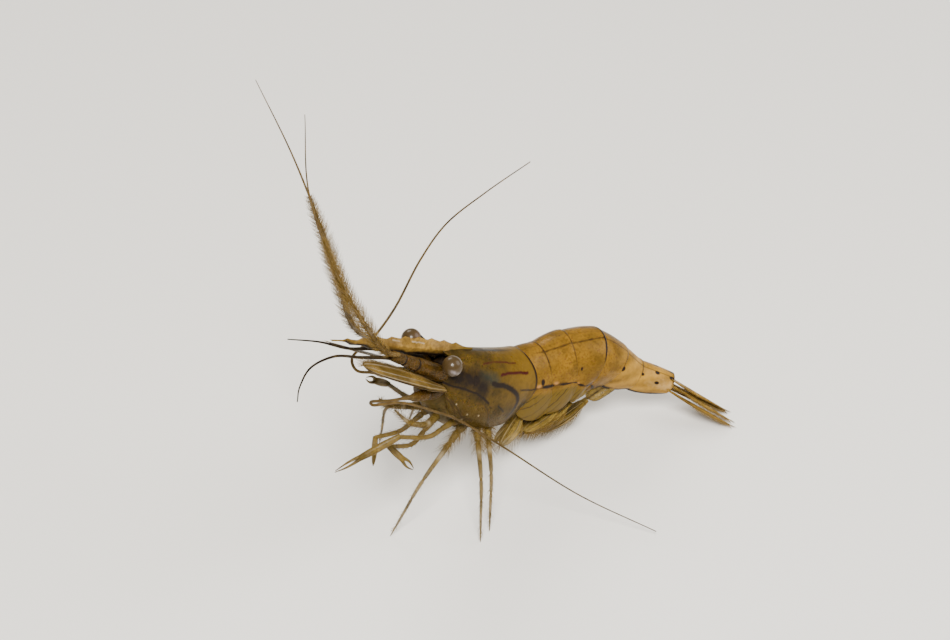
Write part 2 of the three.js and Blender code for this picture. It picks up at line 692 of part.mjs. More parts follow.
/** Stem and blade of a swimming leg in the frame of its somite's middle. */
function swimmeretGeometry(frame, somite, { kneeBelow, length, droop }, sign, grow) {
  const { halfWidth, bladeHalf, peak, rootWidth, endWidth } = SWIMMERET;
  const side = sign * SWIMMERET.side;
  const root = frame.at(0, side, SWIMMERET.rootInside - somite.belly);
  const knee = frame.at(0, side, -somite.depth - kneeBelow);
  const swing = THREE.MathUtils.degToRad(droop);
  const end = knee
    .clone()
    .addScaledVector(frame.forward, share(length) * Math.cos(swing))
    .addScaledVector(frame.up, -share(length) * Math.sin(swing));
  const { stem } = SWIMMERET;
  const peduncle = sweep(new THREE.LineCurve3(root, knee), {
    steps: 1,
    size: () => [stem.halfWidth + grow, stem.halfThickness + grow],
    broadside: frame.forward,
  });
  const blade = sweep(new THREE.LineCurve3(knee, end), {
    steps: 5,
    size: leaf(halfWidth + grow, bladeHalf + grow, peak, rootWidth, endWidth),
    broadside: frame.left,
  });
  return join([peduncle, blade]);
}

// Where two of them would touch, the hinder one gives way.
for (const [side, sign] of SIDES) {
  const inFront = [];
  SWIMMERETS.forEach((swimmeret, i) => {
    const middle = joints[i].origin.clone().lerp(joints[i + 1].origin, 0.5);
    const frame = bodyFrame(middle, SOMITES[i].yaw, SOMITES[i].pitch);
    const grown = (grow) => swimmeretGeometry(frame, SOMITES[i], swimmeret, sign, grow);
    const nearby = somiteCutters.slice(Math.max(0, i - 1), i + 2);
    const cutters = [...nearby, breastCutter, carapaceCutter, ...inFront];
    addPiece(`swimmeret_${i + 1}_${side}`, carve(grown(0), cutters), 'fin');
    inFront.push(solid(grown(TINY_GAP)));
  });
}

// ---------------------------------------------------------------- walking legs
// Two bones from the breast to the tip: the long upper part ends at the knee.
const LEG_ROOT = { side: 0.1, above: -0.63 };
const LEG_RADII = { root: 0.44, knee: 0.34, tip: 0.25 };
const LEG_BEND = { ahead: 0.8, above: 1.5 }; // the knee's way, besides straight outwards
const KNEE = {
  slack: 0.05, // the least by which a leg is shorter than its two lengths
  leastHeight: 0.45, // and the least height of the knee over the line from root to tip
  round: 0.12, // share of each length taken up by the round of the knee
};
const UPPER_MIDDLE = 0.5;
const LOWER_MIDDLE = 0.55;

/** The knee of a leg of two lengths between root and tip, bent outwards and upwards. */
function kneeBetween(root, tip, { upper, lower }, outward) {
  const line = tip.clone().sub(root);
  const distance = Math.min(line.length(), upper + lower - KNEE.slack);
  const along = line.normalize();
  const reach = (upper * upper - lower * lower + distance * distance) / (2 * distance);
  const bend = outward.clone().addScaledVector(along, -outward.dot(along)).normalize();
  const height = Math.max(KNEE.leastHeight, Math.sqrt(Math.max(0, upper * upper - reach * reach)));
  return root.clone().addScaledVector(along, reach).addScaledVector(bend, height);
}

/** Radius along a leg: even tapers from the root to the knee and from the knee to the tip. */
const legRadius = (t) => {
  const { root, knee, tip } = LEG_RADII;
  const { lerp } = THREE.MathUtils;
  const radius = t < 0.5 ? lerp(root, knee, t * 2) : lerp(knee, tip, t * 2 - 1);
  return [radius, radius];
};

const legCutters = [breastCutter, carapaceCutter, mouthCutter, ground];

function legCurve(root, knee, tip) {
  const near = knee.clone().lerp(root, KNEE.round);
  const far = knee.clone().lerp(tip, KNEE.round);
  const upperMiddle = root.clone().lerp(knee, UPPER_MIDDLE);
  const lowerMiddle = far.clone().lerp(tip, LOWER_MIDDLE);
  return smooth([root, upperMiddle, near, far, lowerMiddle, tip]);
}

// Feet on the ground, as places on it, with the lengths of the two parts of the leg.
const STANDING_LEGS = [
  { number: 3, ahead: 0.46, upper: 7.0, lower: 6.8, left: [-16.3, -5.3], right: [-11.6, 6.6] },
  { number: 4, ahead: 0.32, upper: 6.3, lower: 6.5, left: [-9.4, -9.9], right: [-7.6, 8.4] },
  { number: 5, ahead: 0.18, upper: 6.0, lower: 6.3, left: [-8.0, -9.0], right: [-2.6, 8.6] },
];
const FOOT_SINK = 0.3; // the tip runs on below the ground, and is cut flat on it
const LEG_STEPS = 9;

for (const [side, sign] of SIDES) {
  const outward = head.left.clone().multiplyScalar(sign);
  outward.addScaledVector(head.forward, LEG_BEND.ahead);
  outward.z += LEG_BEND.above;
  for (const leg of STANDING_LEGS) {
    const root = head.at(leg.ahead, sign * LEG_ROOT.side, LEG_ROOT.above);
    const tip = new THREE.Vector3(...leg[side], GROUND - FOOT_SINK);
    const knee = kneeBetween(root, tip, leg, outward);
    const geometry = sweep(legCurve(root, knee, tip), { steps: LEG_STEPS, size: legRadius });
    addPiece(`leg_${leg.number}_${side}`, carve(geometry, legCutters), 'limb');
  }
}

// ---------------------------------------------------------------- claw legs
// The two front pairs end in slender pincers held clear of the ground.
const CLAW_LEGS = [
  {
    number: 2,
    ahead: 0.6,
    side: 0.12,
    knee: { left: [0.95, 0.19, -0.72], right: [0.72, -0.33, -0.64] },
    wrist: { left: [1.3, 0.18, -0.73], right: [1.0, -0.36, -0.54] },
    tip: { left: [1.64, 0, -1.13], right: [1.27, -0.37, -0.5] },
    palm: 0.46,
  },
  {
    number: 1,
    ahead: 0.78,
    side: 0.055,
    knee: { left: [0.93, 0.05, -0.86], right: [0.94, -0.1, -0.82] },
    wrist: { left: [1.17, 0.03, -0.9], right: [1.14, -0.16, -0.92] },
    tip: { left: [0.94, 0.16, -1.03], right: [1.1, -0.1, -1.14] },
    palm: 0.38,
  },
];
const CLAW_ROOT_LIFT = 0.03; // these legs spring from a little higher up the breast
const ARM = { from: 0.4, to: 0.3 };
const PALM = { root: 0.28, thickness: 0.3, start: 0.15, swell: 0.6, overlap: 0.08 };
const FINGER = {
  share: 0.42, // of the length from wrist to tip
  radius: 0.25,
  spread: 0.3,
  back: 0.2, // how far its root reaches back into the palm
  opening: [0.6, 1.25, 0.7], // shares of the spread at root, middle and tip
};

/** The palm swells from the wrist, and is broadest before the fingers. */
const palmSize = (palm) => (t) => {
  const swelling = Math.sin(Math.PI * (PALM.start + t * PALM.swell));
  return [PALM.root + (palm - PALM.root) * swelling, PALM.thickness];
};

/** One finger, bowed up or down from the line between grip and tip. */
function fingerGeometry(wrist, grip, tip, turn) {
  const open = (amount) => head.up.clone().multiplyScalar(turn * FINGER.spread * amount);
  const inwards = wrist.clone().sub(grip).normalize();
  const start = grip.clone().addScaledVector(inwards, FINGER.back).add(open(FINGER.opening[0]));
  const middle = grip.clone().lerp(tip, 0.5).add(open(FINGER.opening[1]));
  const end = tip.clone().add(open(FINGER.opening[2]));
  const size = taper(FINGER.radius, FINGER.radius);
  return sweep(smooth([start, middle, end]), { steps: 2, sides: 5, size });
}

for (const [side, sign] of SIDES) {
  for (const leg of CLAW_LEGS) {
    const root = head.at(leg.ahead, sign * leg.side, LEG_ROOT.above + CLAW_ROOT_LIFT);
    const [knee, wrist, tip] = [leg.knee, leg.wrist, leg.tip].map((spots) => head.at(...spots[side]));
    const grip = wrist.clone().lerp(tip, 1 - FINGER.share);
    const armCurve = smooth([root, root.clone().lerp(knee, UPPER_MIDDLE), knee, wrist]);
    const arm = sweep(armCurve, { steps: 6, size: taper(ARM.from, ARM.to) });
    const palmLine = new THREE.LineCurve3(wrist.clone().lerp(knee, PALM.overlap), grip);
    const palm = sweep(palmLine, { steps: 3, size: palmSize(leg.palm), broadside: head.up });
    const fingers = [-1, 1].map((turn) => fingerGeometry(wrist, grip, tip, turn));
    const geometry = carve(join([arm, palm, ...fingers]), legCutters);
    addPiece(`claw_leg_${leg.number}_${side}`, geometry, 'limb');
  }
}

// ---------------------------------------------------------------- feeding limbs
const FEEDING = {
  route: [[0.84, 0.09, -0.59], [1.0, 0.15, -0.63], [1.2, 0.15, -0.62], [1.36, 0.09, -0.54]],
  from: 0.4,
  to: 0.26,
};

for (const [side, sign] of SIDES) {
  const spots = FEEDING.route.map(([ahead, across, above]) => head.at(ahead, sign * across, above));
  const limb = sweep(smooth(spots), { steps: 8, size: taper(FEEDING.from, FEEDING.to) });
  addPiece(`maxilliped_${side}`, carve(limb, legCutters), 'limb');
}

// ---------------------------------------------------------------- set on the ground
// The origin is under the middle of the whole animal, at the level of the ground.
const bounds = new THREE.Box3().setFromObject(shrimp);
const middle = bounds.getCenter(new THREE.Vector3());
shrimp.position.set(-middle.x, -middle.y, -GROUND);

export default shrimp;
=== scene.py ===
import math

import bpy
import numpy as np
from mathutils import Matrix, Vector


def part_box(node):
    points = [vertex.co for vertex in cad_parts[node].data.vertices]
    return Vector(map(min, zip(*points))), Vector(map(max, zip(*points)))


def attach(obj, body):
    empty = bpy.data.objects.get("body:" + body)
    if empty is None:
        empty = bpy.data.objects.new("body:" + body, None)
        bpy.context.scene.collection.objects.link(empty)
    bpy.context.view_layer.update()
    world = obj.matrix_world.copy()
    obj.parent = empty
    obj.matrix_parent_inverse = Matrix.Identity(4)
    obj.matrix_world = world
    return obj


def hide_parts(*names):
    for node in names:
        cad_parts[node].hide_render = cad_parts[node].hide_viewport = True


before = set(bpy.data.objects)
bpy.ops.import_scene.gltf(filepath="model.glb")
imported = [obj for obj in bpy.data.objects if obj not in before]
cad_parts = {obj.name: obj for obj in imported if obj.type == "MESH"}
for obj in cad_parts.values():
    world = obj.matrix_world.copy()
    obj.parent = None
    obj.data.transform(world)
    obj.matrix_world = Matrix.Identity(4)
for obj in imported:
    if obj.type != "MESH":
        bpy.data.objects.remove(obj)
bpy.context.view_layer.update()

# ------------------------------------------------------------------ where the animal lies
# A glass shrimp of the family Palaemonidae. Places on it are given in carapace
# lengths from the hind edge of its back: ahead, to its left, and above the axis of
# the head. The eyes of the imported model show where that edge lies.
MM = 0.001
SIDES = {"left": 1, "right": -1}
CARAPACE = 11.0 * MM
HEAD_YAW = 15.0
HEAD_PITCH = 30.6
BETWEEN_EYES = (1.09, 0.0, -0.075)


def directions(yaw, pitch, roll=0.0):
    """Forward, left and up for a stretch of body turned by yaw, lifted by pitch, rolled to its right."""
    turn, lift, tip = math.radians(yaw), math.radians(pitch), math.radians(roll)
    forward = np.array([-math.cos(lift) * math.cos(turn), -math.cos(lift) * math.sin(turn), math.sin(lift)])
    left = np.array([math.sin(turn), -math.cos(turn), 0.0])
    up = np.array([math.sin(lift) * math.cos(turn), math.sin(lift) * math.sin(turn), math.cos(lift)])
    return forward, left * math.cos(tip) + up * math.sin(tip), up * math.cos(tip) - left * math.sin(tip)


def middle_of(node):
    low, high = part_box(node)
    return (np.array(low) + np.array(high)) / 2


FORWARD, LEFT, UP = directions(HEAD_YAW, HEAD_PITCH)


def offset(ahead, side, above):
    return (FORWARD * ahead + LEFT * side + UP * above) * CARAPACE


HIND_EDGE = (middle_of("eye_left") + middle_of("eye_right")) / 2 - offset(*BETWEEN_EYES)


def at(ahead, side, above):
    return HIND_EDGE + offset(ahead, side, above)


def on_side(sign, spot):
    """A place given for the left side, on the left (sign 1) or mirrored to the right (-1)."""
    ahead, side, above = spot
    return at(ahead, sign * side, above)


# ------------------------------------------------------------------ camera, floor and light
# A long lens looks down on the animal's left side. The floor is a matt pale sheet,
# and three large soft lamps stand round it.
LOOK_AT = np.array([-3.6466, 1.9389, 3.33]) * MM
CAMERA_AWAY = 150.4 * MM
CAMERA_TURN = math.radians(-28.0)
CAMERA_LIFT = math.radians(37.0)
VIEW_ACROSS = math.radians(31.76)
SENSOR = 36.0
FLOOR_HALF = 0.6
PAPER = (0.80, 0.785, 0.75, 1.0)


def aim(thing, target):
    """Turns a camera or lamp so that it looks at a place."""
    away = np.array(thing.location) - np.array(target)
    level = math.hypot(away[0], away[1])
    thing.rotation_euler = (math.atan2(level, away[2]), 0.0, math.atan2(away[0], -away[1]))


def lamp(name, place, size, watts, colour):
    light = bpy.data.lights.new(name, "AREA")
    light.shape = "DISK"
    light.size = size
    light.energy = watts
    light.color = colour
    thing = bpy.data.objects.new(name, light)
    bpy.context.scene.collection.objects.link(thing)
    thing.location = place
    aim(thing, target)


target = HIND_EDGE + LOOK_AT
back = np.array([math.sin(CAMERA_TURN) * math.cos(CAMERA_LIFT),
                 -math.cos(CAMERA_TURN) * math.cos(CAMERA_LIFT),
                 math.sin(CAMERA_LIFT)])
lens = bpy.data.cameras.new("camera")
lens.sensor_fit = "HORIZONTAL"
lens.sensor_width = SENSOR
lens.lens = SENSOR / 2 / math.tan(VIEW_ACROSS / 2)
lens.clip_start = 0.005
lens.clip_end = 10.0
camera = bpy.data.objects.new("camera", lens)
bpy.context.scene.collection.objects.link(camera)
camera.location = target + back * CAMERA_AWAY
aim(camera, target)
bpy.context.scene.camera = camera

lamp("key_lamp", target + np.array([-0.10, -0.20, 0.30]), 0.16, 2.9, (1.0, 0.97, 0.92))
lamp("fill_lamp", target + np.array([0.30, -0.12, 0.20]), 0.30, 1.1, (1.0, 0.98, 0.95))
lamp("back_lamp", target + np.array([0.02, 0.30, 0.26]), 0.22, 0.9, (1.0, 0.95, 0.86))

world = bpy.data.worlds.new("studio")
world.use_nodes = True
world.node_tree.nodes["Background"].inputs["Color"].default_value = (0.82, 0.79, 0.74, 1.0)
world.node_tree.nodes["Background"].inputs["Strength"].default_value = 0.42
bpy.context.scene.world = world

sheet = bpy.data.meshes.new("floor")
sheet.from_pydata([(-FLOOR_HALF, -FLOOR_HALF, 0), (FLOOR_HALF, -FLOOR_HALF, 0),
                   (FLOOR_HALF, FLOOR_HALF, 0), (-FLOOR_HALF, FLOOR_HALF, 0)], [], [(0, 1, 2, 3)])
floor = bpy.data.objects.new("floor", sheet)
bpy.context.scene.collection.objects.link(floor)
paper = bpy.data.materials.new("paper")
paper.use_nodes = True
paper.node_tree.nodes["Principled BSDF"].inputs["Base Color"].default_value = PAPER
paper.node_tree.nodes["Principled BSDF"].inputs["Roughness"].default_value = 0.9
sheet.materials.append(paper)

# ------------------------------------------------------------------ carapace
# The shield over head and chest: thin, clear, smooth shell, open below, with an
# eye socket, two small spines on its front edge and dark lines and a dash drawn in it.
# Stations: ahead, half width, depth, how high the back lies.
SHIELD = np.array([
    (0.015, 0.245, 0.540, 0.0),
    (0.10, 0.255, 0.580, -0.010),
    (0.25, 0.262, 0.600, -0.020),
    (0.42, 0.258, 0.605, -0.026),
    (0.58, 0.248, 0.590, -0.030),
    (0.72, 0.230, 0.545, -0.034),
    (0.84, 0.207, 0.480, -0.038),
    (0.93, 0.180, 0.415, -0.041),
    (1.00, 0.140, 0.340, -0.043),
])
SHELL_THICK = 0.12 * MM
ROUND_SHARE = 0.52  # the part of the depth that the round of the back takes
HEM_IN = 0.2  # how far the lower edge is drawn in
HIND_SWEEP = 0.10  # how far the hind edge reaches back over the first tail plate
# Along the front edge: how long, how far down the side, how broad.
EYE_NOTCH = (0.075, 0.24, 0.11)
FRONT_SPINES = [(0.045, 0.40, 0.022), (0.025, 0.56, 0.03)]
FRONT_SLOPE = 0.22  # how far the front edge falls back at its foot
RIDGE_HIGH = 0.012
GILL_SWELL = 0.012
SHIELD_ROWS = 170
SHIELD_COLUMNS = 95

# Lines drawn in the shell, as places on its left side; the right side has the same.
BIG_C = [(0.49, 0.23, -0.22), (0.34, 0.24, -0.23), (0.18, 0.25, -0.28), (0.11, 0.245, -0.35),
         (0.10, 0.24, -0.43), (0.12, 0.22, -0.52)]
CHEEK_LINE = [(1.00, 0.07, -0.25), (0.94, 0.17, -0.27), (0.79, 0.21, -0.28), (0.61, 0.24, -0.32),
              (0.48, 0.25, -0.38)]
GILL_DASH = [(0.35, 0.25, -0.40), (0.24, 0.24, -0.45)]
HIND_LINE = [(0.12, 0.24, -0.26), (-0.09, 0.23, -0.25), (-0.20, 0.24, -0.21)]
LIVER_LINE = [(0.59, 0.14, -0.09), (0.43, 0.13, -0.07), (0.18, 0.14, -0.07)]
RED_DASH = [(0.39, 0.20, -0.15), (0.24, 0.19, -0.13), (0.05, 0.19, -0.13)]
LOW_LINES = [[(0.69, 0.20, -0.52), (0.54, 0.21, -0.56)],
             [(0.87, 0.18, -0.39), (0.76, 0.19, -0.46), (0.66, 0.20, -0.55)],
             [(0.60, 0.24, -0.34), (0.47, 0.24, -0.43), (0.31, 0.21, -0.60)],
             [(0.99, 0.12, -0.36), (0.88, 0.17, -0.40), (0.76, 0.19, -0.50)]]
BLUE_HAZE = [(0.62, 0.21, -0.18), (0.47, 0.21, -0.19)]
DARK_CHEEK = [(0.90, 0.17, -0.20), (0.72, 0.20, -0.20), (0.60, 0.23, -0.26)]
PALE_FLECKS = [(0.66, 0.20, -0.55), (0.64, 0.21, -0.50), (0.76, 0.18, -0.54), (0.80, 0.19, -0.42),
               (0.52, 0.25, -0.50)]


def flow(table, x):
    """Smooth curves through the rows of a table whose first column is the place along it."""
    known, values = table[:, 0], table[:, 1:]
    slopes = np.gradient(values, known, axis=0)
    x = np.clip(x, known[0], known[-1])
    i = np.clip(np.searchsorted(known, x) - 1, 0, len(known) - 2)
    gap = known[i + 1] - known[i]
    t = ((x - known[i]) / gap)[..., None]
    gap = gap[..., None]
    return ((2 * t**3 - 3 * t**2 + 1) * values[i] + (t**3 - 2 * t**2 + t) * gap * slopes[i]
            + (-2 * t**3 + 3 * t**2) * values[i + 1] + (t**3 - t**2) * gap * slopes[i + 1])


def bump(x, centre, width):
    return np.exp(-((x - centre) / width) ** 2)


def body_outline(s, half, depth):
    """Across the body at s, from -1 at the right hem over the back at 0 to 1 at the left hem."""
    down = np.abs(s)
    turn = np.clip(down / 0.5, 0, 1) * math.pi / 2
    low = np.clip((down - 0.5) / 0.5, 0, 1)
    across = half * np.sin(turn) * (1 - HEM_IN * low**2)
    height = -depth * (ROUND_SHARE * (1 - np.cos(turn)) + (1 - ROUND_SHARE) * low)
    return np.sign(s) * across, height


def normals_of(grid):
    rows = np.gradient(grid, axis=0)
    columns = np.gradient(grid, axis=1)
    normal = np.cross(rows, columns)
    return normal / np.maximum(np.linalg.norm(normal, axis=-1, keepdims=True), 1e-12)


def thin_plate(outer, thickness, outward):
    """A closed thin plate: its outer face is a grid of places, its inner face lies thickness
    behind it, and the edge joins them. outward is a rough direction out of the middle."""
    rows, columns, _ = outer.shape
    normal = normals_of(outer)
    turned = np.sum(normal * outward) < 0
    if turned:
        normal = -normal
    places = np.concatenate([outer.reshape(-1, 3), (outer - normal * thickness).reshape(-1, 3)])
    index = np.arange(rows * columns).reshape(rows, columns)
    a, b, c, d = index[:-1, :-1], index[1:, :-1], index[1:, 1:], index[:-1, 1:]
    top = np.stack([a, b, c, d], -1).reshape(-1, 4)
    under = top[:, ::-1] + rows * columns
    rim = np.concatenate([index[0, :], index[1:, -1], index[-1, -2::-1], index[-2:0:-1, 0]])
    after = np.roll(rim, -1)
    edge = np.stack([rim, after, after + rows * columns, rim + rows * columns], -1)
    faces = np.concatenate([top, under, edge])
    if turned:
        faces = faces[:, ::-1]
    return places, faces.tolist()


def through(points, count):
    """A smooth path through points, evenly spaced, with the spacing eased at close ones."""
    points = np.array(points, float)
    ends = np.vstack([2 * points[0] - points[1], points, 2 * points[-1] - points[-2]])
    knots = np.concatenate([[0], np.cumsum(np.sqrt(np.linalg.norm(np.diff(ends, axis=0), axis=1)))])
    path = []
    for i in range(1, len(ends) - 2):
        t = np.linspace(knots[i], knots[i + 1], 40, endpoint=i == len(ends) - 3)[:, None]
        t0, t1, t2, t3 = knots[i - 1:i + 3]
        p0, p1, p2, p3 = ends[i - 1:i + 3]
        a1 = (t1 - t) / (t1 - t0) * p0 + (t - t0) / (t1 - t0) * p1
        a2 = (t2 - t) / (t2 - t1) * p1 + (t - t1) / (t2 - t1) * p2
        a3 = (t3 - t) / (t3 - t2) * p2 + (t - t2) / (t3 - t2) * p3
        b1 = (t2 - t) / (t2 - t0) * a1 + (t - t0) / (t2 - t0) * a2
        b2 = (t3 - t) / (t3 - t1) * a2 + (t - t1) / (t3 - t1) * a3
        path.append((t2 - t) / (t2 - t1) * b1 + (t - t1) / (t2 - t1) * b2)
    path = np.vstack(path)
    length = np.concatenate([[0], np.cumsum(np.linalg.norm(np.diff(path, axis=0), axis=1))])
    even = np.linspace(0, length[-1], count)
    return np.column_stack([np.interp(even, length, path[:, k]) for k in range(3)])


def to_path(places, path):
    """How far each place is from the nearest of the close-set points of a path."""
    nearest = np.full(len(places), 1.0)
    for spot in path:
        nearest = np.minimum(nearest, np.linalg.norm(places - spot, axis=1))
    return nearest


def drawn(places, strokes, width):
    """1 on the strokes, drawn along the surface on both sides, fading out at the width in mm."""
    depth = np.zeros(len(places))
    for stroke in strokes:
        for sign in (1, -1):
            path = through([on_side(sign, spot) for spot in stroke], 12 * len(stroke))
            gaps = [np.linalg.norm(places - spot, axis=1) for spot in path]
            path = np.array([places[np.argmin(gap)] for gap in gaps if gap.min() < 0.45 * MM])
            if len(path) > 4:
                path[1:-1] = (path[:-2] + 2 * path[1:-1] + path[2:]) / 4
            depth = np.maximum(depth, np.exp(-((to_path(places, path) / (width * MM)) ** 2)))
    return depth


def piece(name, places, faces, material, stands_for=(), fields=None):
    """One object of the animal, riding on its body, nowhere below the floor, with named values
    painted on its points: one value each, or one for all."""
    places = np.array(places)
    places[:, 2] = np.maximum(places[:, 2], 0.0)
    mesh = bpy.data.meshes.new(name)
    mesh.from_pydata(places.tolist(), [], faces)
    mesh.materials.append(material)
    mesh.polygons.foreach_set("use_smooth", [True] * len(mesh.polygons))
    for key, values in (fields or {}).items():
        layer = mesh.attributes.new(key, "FLOAT", "POINT")
        values = np.broadcast_to(np.clip(values, 0, 1), len(places))
        layer.data.foreach_set("value", values.astype(np.float32))
    mesh.update()
    thing = bpy.data.objects.new(name, mesh)
    bpy.context.scene.collection.objects.link(thing)
    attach(thing, "root")
    if stands_for:
        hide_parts(*stands_for)
    return thing


def blend(tree, amount, first, second):
    """A colour between two colours; each of the three may be a value or a socket."""
    node = tree.nodes.new("ShaderNodeMix")
    node.data_type = "RGBA"
    for socket, given in ((node.inputs[0], amount), (node.inputs[6], first), (node.inputs[7], second)):
        if isinstance(given, bpy.types.NodeSocket):
            tree.links.new(given, socket)
        else:
            socket.default_value = given
    return node.outputs[2]


def sum_up(tree, kind, first, second, clamp=True):
    node = tree.nodes.new("ShaderNodeMath")
    node.operation = kind
    node.use_clamp = clamp
    for socket, given in zip(node.inputs, (first, second)):
        if isinstance(given, bpy.types.NodeSocket):
            tree.links.new(given, socket)
        else:
            socket.default_value = given
    return node.outputs[0]


def between(tree, value, low, high):
    """0 below low, 1 above high, and a straight ramp between them."""
    node = tree.nodes.new("ShaderNodeMapRange")
    tree.links.new(value, node.inputs["Value"])
    node.inputs["From Min"].default_value = low
    node.inputs["From Max"].default_value = high
    return node.outputs["Result"]


def noise(tree, size, detail=4.0, stretch=None):
    """Cloudy pattern whose clouds are about size millimetres across."""
    place = tree.nodes.new("ShaderNodeTexCoord").outputs["Object"]
    if stretch is not None:
        mapping = tree.nodes.new("ShaderNodeMapping")
        mapping.inputs["Scale"].default_value = stretch
        tree.links.new(place, mapping.inputs["Vector"])
        place = mapping.outputs["Vector"]
    node = tree.nodes.new("ShaderNodeTexNoise")
    node.inputs["Scale"].default_value = 1.0 / (size * MM)
    node.inputs["Detail"].default_value = detail
    tree.links.new(place, node.inputs["Vector"])
    return node.outputs["Fac"]


def dots(tree, spacing, radius):
    """1 inside round pigment spots set about spacing millimetres apart."""
    place = tree.nodes.new("ShaderNodeTexCoord").outputs["Object"]
    node = tree.nodes.new("ShaderNodeTexVoronoi")
    node.inputs["Scale"].default_value = 1.0 / (spacing * MM)
    tree.links.new(place, node.inputs["Vector"])
    return between(tree, node.outputs["Distance"], radius + 0.08, radius)


def field(tree, name):
    node = tree.nodes.new("ShaderNodeAttribute")
    node.attribute_name = name
    return node.outputs["Fac"]


LINE_INK = (0.010, 0.006, 0.004, 1.0)
RUST = (0.035, 0.004, 0.003, 1.0)
PEACH = (0.36, 0.17, 0.055, 1.0)
# blue-grey of the head's haze and the gills, and also painted shade under the tail lobes' line
BLUE_GREY_AND_SHADE = (0.016, 0.026, 0.022, 1.0)
WHITISH = (0.42, 0.36, 0.26, 1.0)
AMBER = (0.120, 0.066, 0.006, 1.0)
OLIVE = (0.105, 0.064, 0.007, 1.0)
HONEY = (0.410, 0.222, 0.034, 1.0)
FLECK = (0.09, 0.035, 0.015, 1.0)
CLOUD_SIZE, GRAIN_SIZE, MOTTLE_SIZE = 1.6, 0.22, 0.7  # in mm
SPOT_SPACING, SPOT_RADIUS = 0.42, 0.16
PAINTS = {"amber": AMBER, "olive": OLIVE, "honey": HONEY, "blue_grey_and_shade": BLUE_GREY_AND_SHADE,
          "pale": WHITISH, "peach": PEACH, "rust": RUST, "ink": LINE_INK}


def clear_shell(name, tint, shade, painted, opaque=0.9, spots=0.5, gloss=0.26, glow=0.05):
    """Clear brown shell: clouded tint, fine pigment spots, then the painted fields it is given
    by name, each over the one before, and partly see-through."""
    material = bpy.data.materials.new(name)
    material.use_nodes = True
    tree = material.node_tree
    shader = tree.nodes["Principled BSDF"]
    cloud = between(tree, noise(tree, CLOUD_SIZE, 5.0), 0.36, 0.66)
    colour = blend(tree, cloud, tint, shade)
    grain = between(tree, noise(tree, GRAIN_SIZE, 3.0), 0.45, 0.70)
    deep = tuple(c * 0.5 for c in shade[:3]) + (1.0,)
    colour = blend(tree, sum_up(tree, "MULTIPLY", grain, 0.55), colour, deep)
    mottle = between(tree, noise(tree, MOTTLE_SIZE, 3.0, (1.0, 0.45, 0.7)), 0.50, 0.72)
    colour = blend(tree, sum_up(tree, "MULTIPLY", mottle, 0.45), colour, deep)
    fleck = sum_up(tree, "MULTIPLY", dots(tree, SPOT_SPACING, SPOT_RADIUS), spots)
    colour = blend(tree, fleck, colour, FLECK)
    solid = sum_up(tree, "MULTIPLY", cloud, 0.06)
    solid = sum_up(tree, "ADD", solid, opaque)
    if "clear" in painted:
        solid = sum_up(tree, "SUBTRACT", solid, field(tree, "clear"))
    for paint in [key for key in PAINTS if key in painted]:
        amount = field(tree, paint)
        ragged = sum_up(tree, "MULTIPLY", amount, sum_up(tree, "ADD", noise(tree, 0.5), 0.62, False))
        amount = between(tree, ragged, 0.18, 0.78)
        colour = blend(tree, amount, colour, PAINTS[paint])
        solid = sum_up(tree, "ADD", solid, sum_up(tree, "MULTIPLY", amount, 0.6))
    tree.links.new(colour, shader.inputs["Base Color"])
    tree.links.new(solid, shader.inputs["Alpha"])
    shader.inputs["Subsurface Weight"].default_value = glow
    shader.inputs["Subsurface Radius"].default_value = (1.0, 0.6, 0.3)
    shader.inputs["Subsurface Scale"].default_value = 0.5 * MM
    shader.inputs["Specular IOR Level"].default_value = 0.05
    shader.inputs["Coat Weight"].default_value = 0.04
    shader.inputs["Coat Roughness"].default_value = 0.10
    roughness = sum_up(tree, "ADD", sum_up(tree, "MULTIPLY", cloud, 0.18), gloss)
    tree.links.new(roughness, shader.inputs["Roughness"])
    relief = tree.nodes.new("ShaderNodeBump")
    relief.inputs["Strength"].default_value = 0.25
    relief.inputs["Distance"].default_value = 0.06 * MM
    tree.links.new(noise(tree, 0.3, 4.0), relief.inputs["Height"])
    tree.links.new(relief.outputs["Normal"], shader.inputs["Normal"])
    return material


def shield_grid():
    """Places of the shield's outer face, and how far ahead and down its side each one is."""
    s = np.linspace(-1, 1, 2 * SHIELD_COLUMNS + 1)
    t = np.linspace(0, 1, SHIELD_ROWS)[:, None]
    down = np.abs(s)
    hind = 0.02 - HIND_SWEEP * bump(down, 0.42, 0.3) + 0.05 * np.clip(down - 0.75, 0, 1)
    notch, place, broad = EYE_NOTCH
    front = 1.0 - notch * bump(down, place, broad)
    for spine_length, place, broad in FRONT_SPINES:
        front = front + spine_length * bump(down, place, broad)
    front = front - FRONT_SLOPE * np.clip((down - 0.62) / 0.38, 0, 1) ** 1.6
    ahead = hind + (front - hind) * t
    shape = flow(SHIELD, ahead)
    half, depth, rise = shape[..., 0], shape[..., 1], shape[..., 2]
    depth = depth * (1 - 0.05 * bump(ahead, 0.0, 0.12))
    across, height = body_outline(s[None, :], half, depth)
    ridge = RIDGE_HIGH * bump(s[None, :], 0, 0.05) * np.clip((ahead - 0.55) / 0.4, 0, 1)
    gill = GILL_SWELL * bump(down[None, :], 0.72, 0.2) * bump(ahead, 0.38, 0.25)
    across = across + np.sign(s)[None, :] * gill
    lean = np.clip(1 - ahead / SHIELD[3, 0], 0, 1)[..., None]
    up = UP * (1 - lean) + SPINE[0][2] * lean
    left = LEFT * (1 - lean) + SPINE[0][1] * lean
    up = up / np.linalg.norm(up, axis=-1, keepdims=True)
    left = left / np.linalg.norm(left, axis=-1, keepdims=True)
    grid = (HIND_EDGE + FORWARD * ahead[..., None] * CARAPACE
            + UP * rise[..., None] * CARAPACE
            + left * across[..., None] * CARAPACE
            + up * (height + ridge)[..., None] * CARAPACE)
    return grid, ahead, np.broadcast_to(s[None, :], ahead.shape)


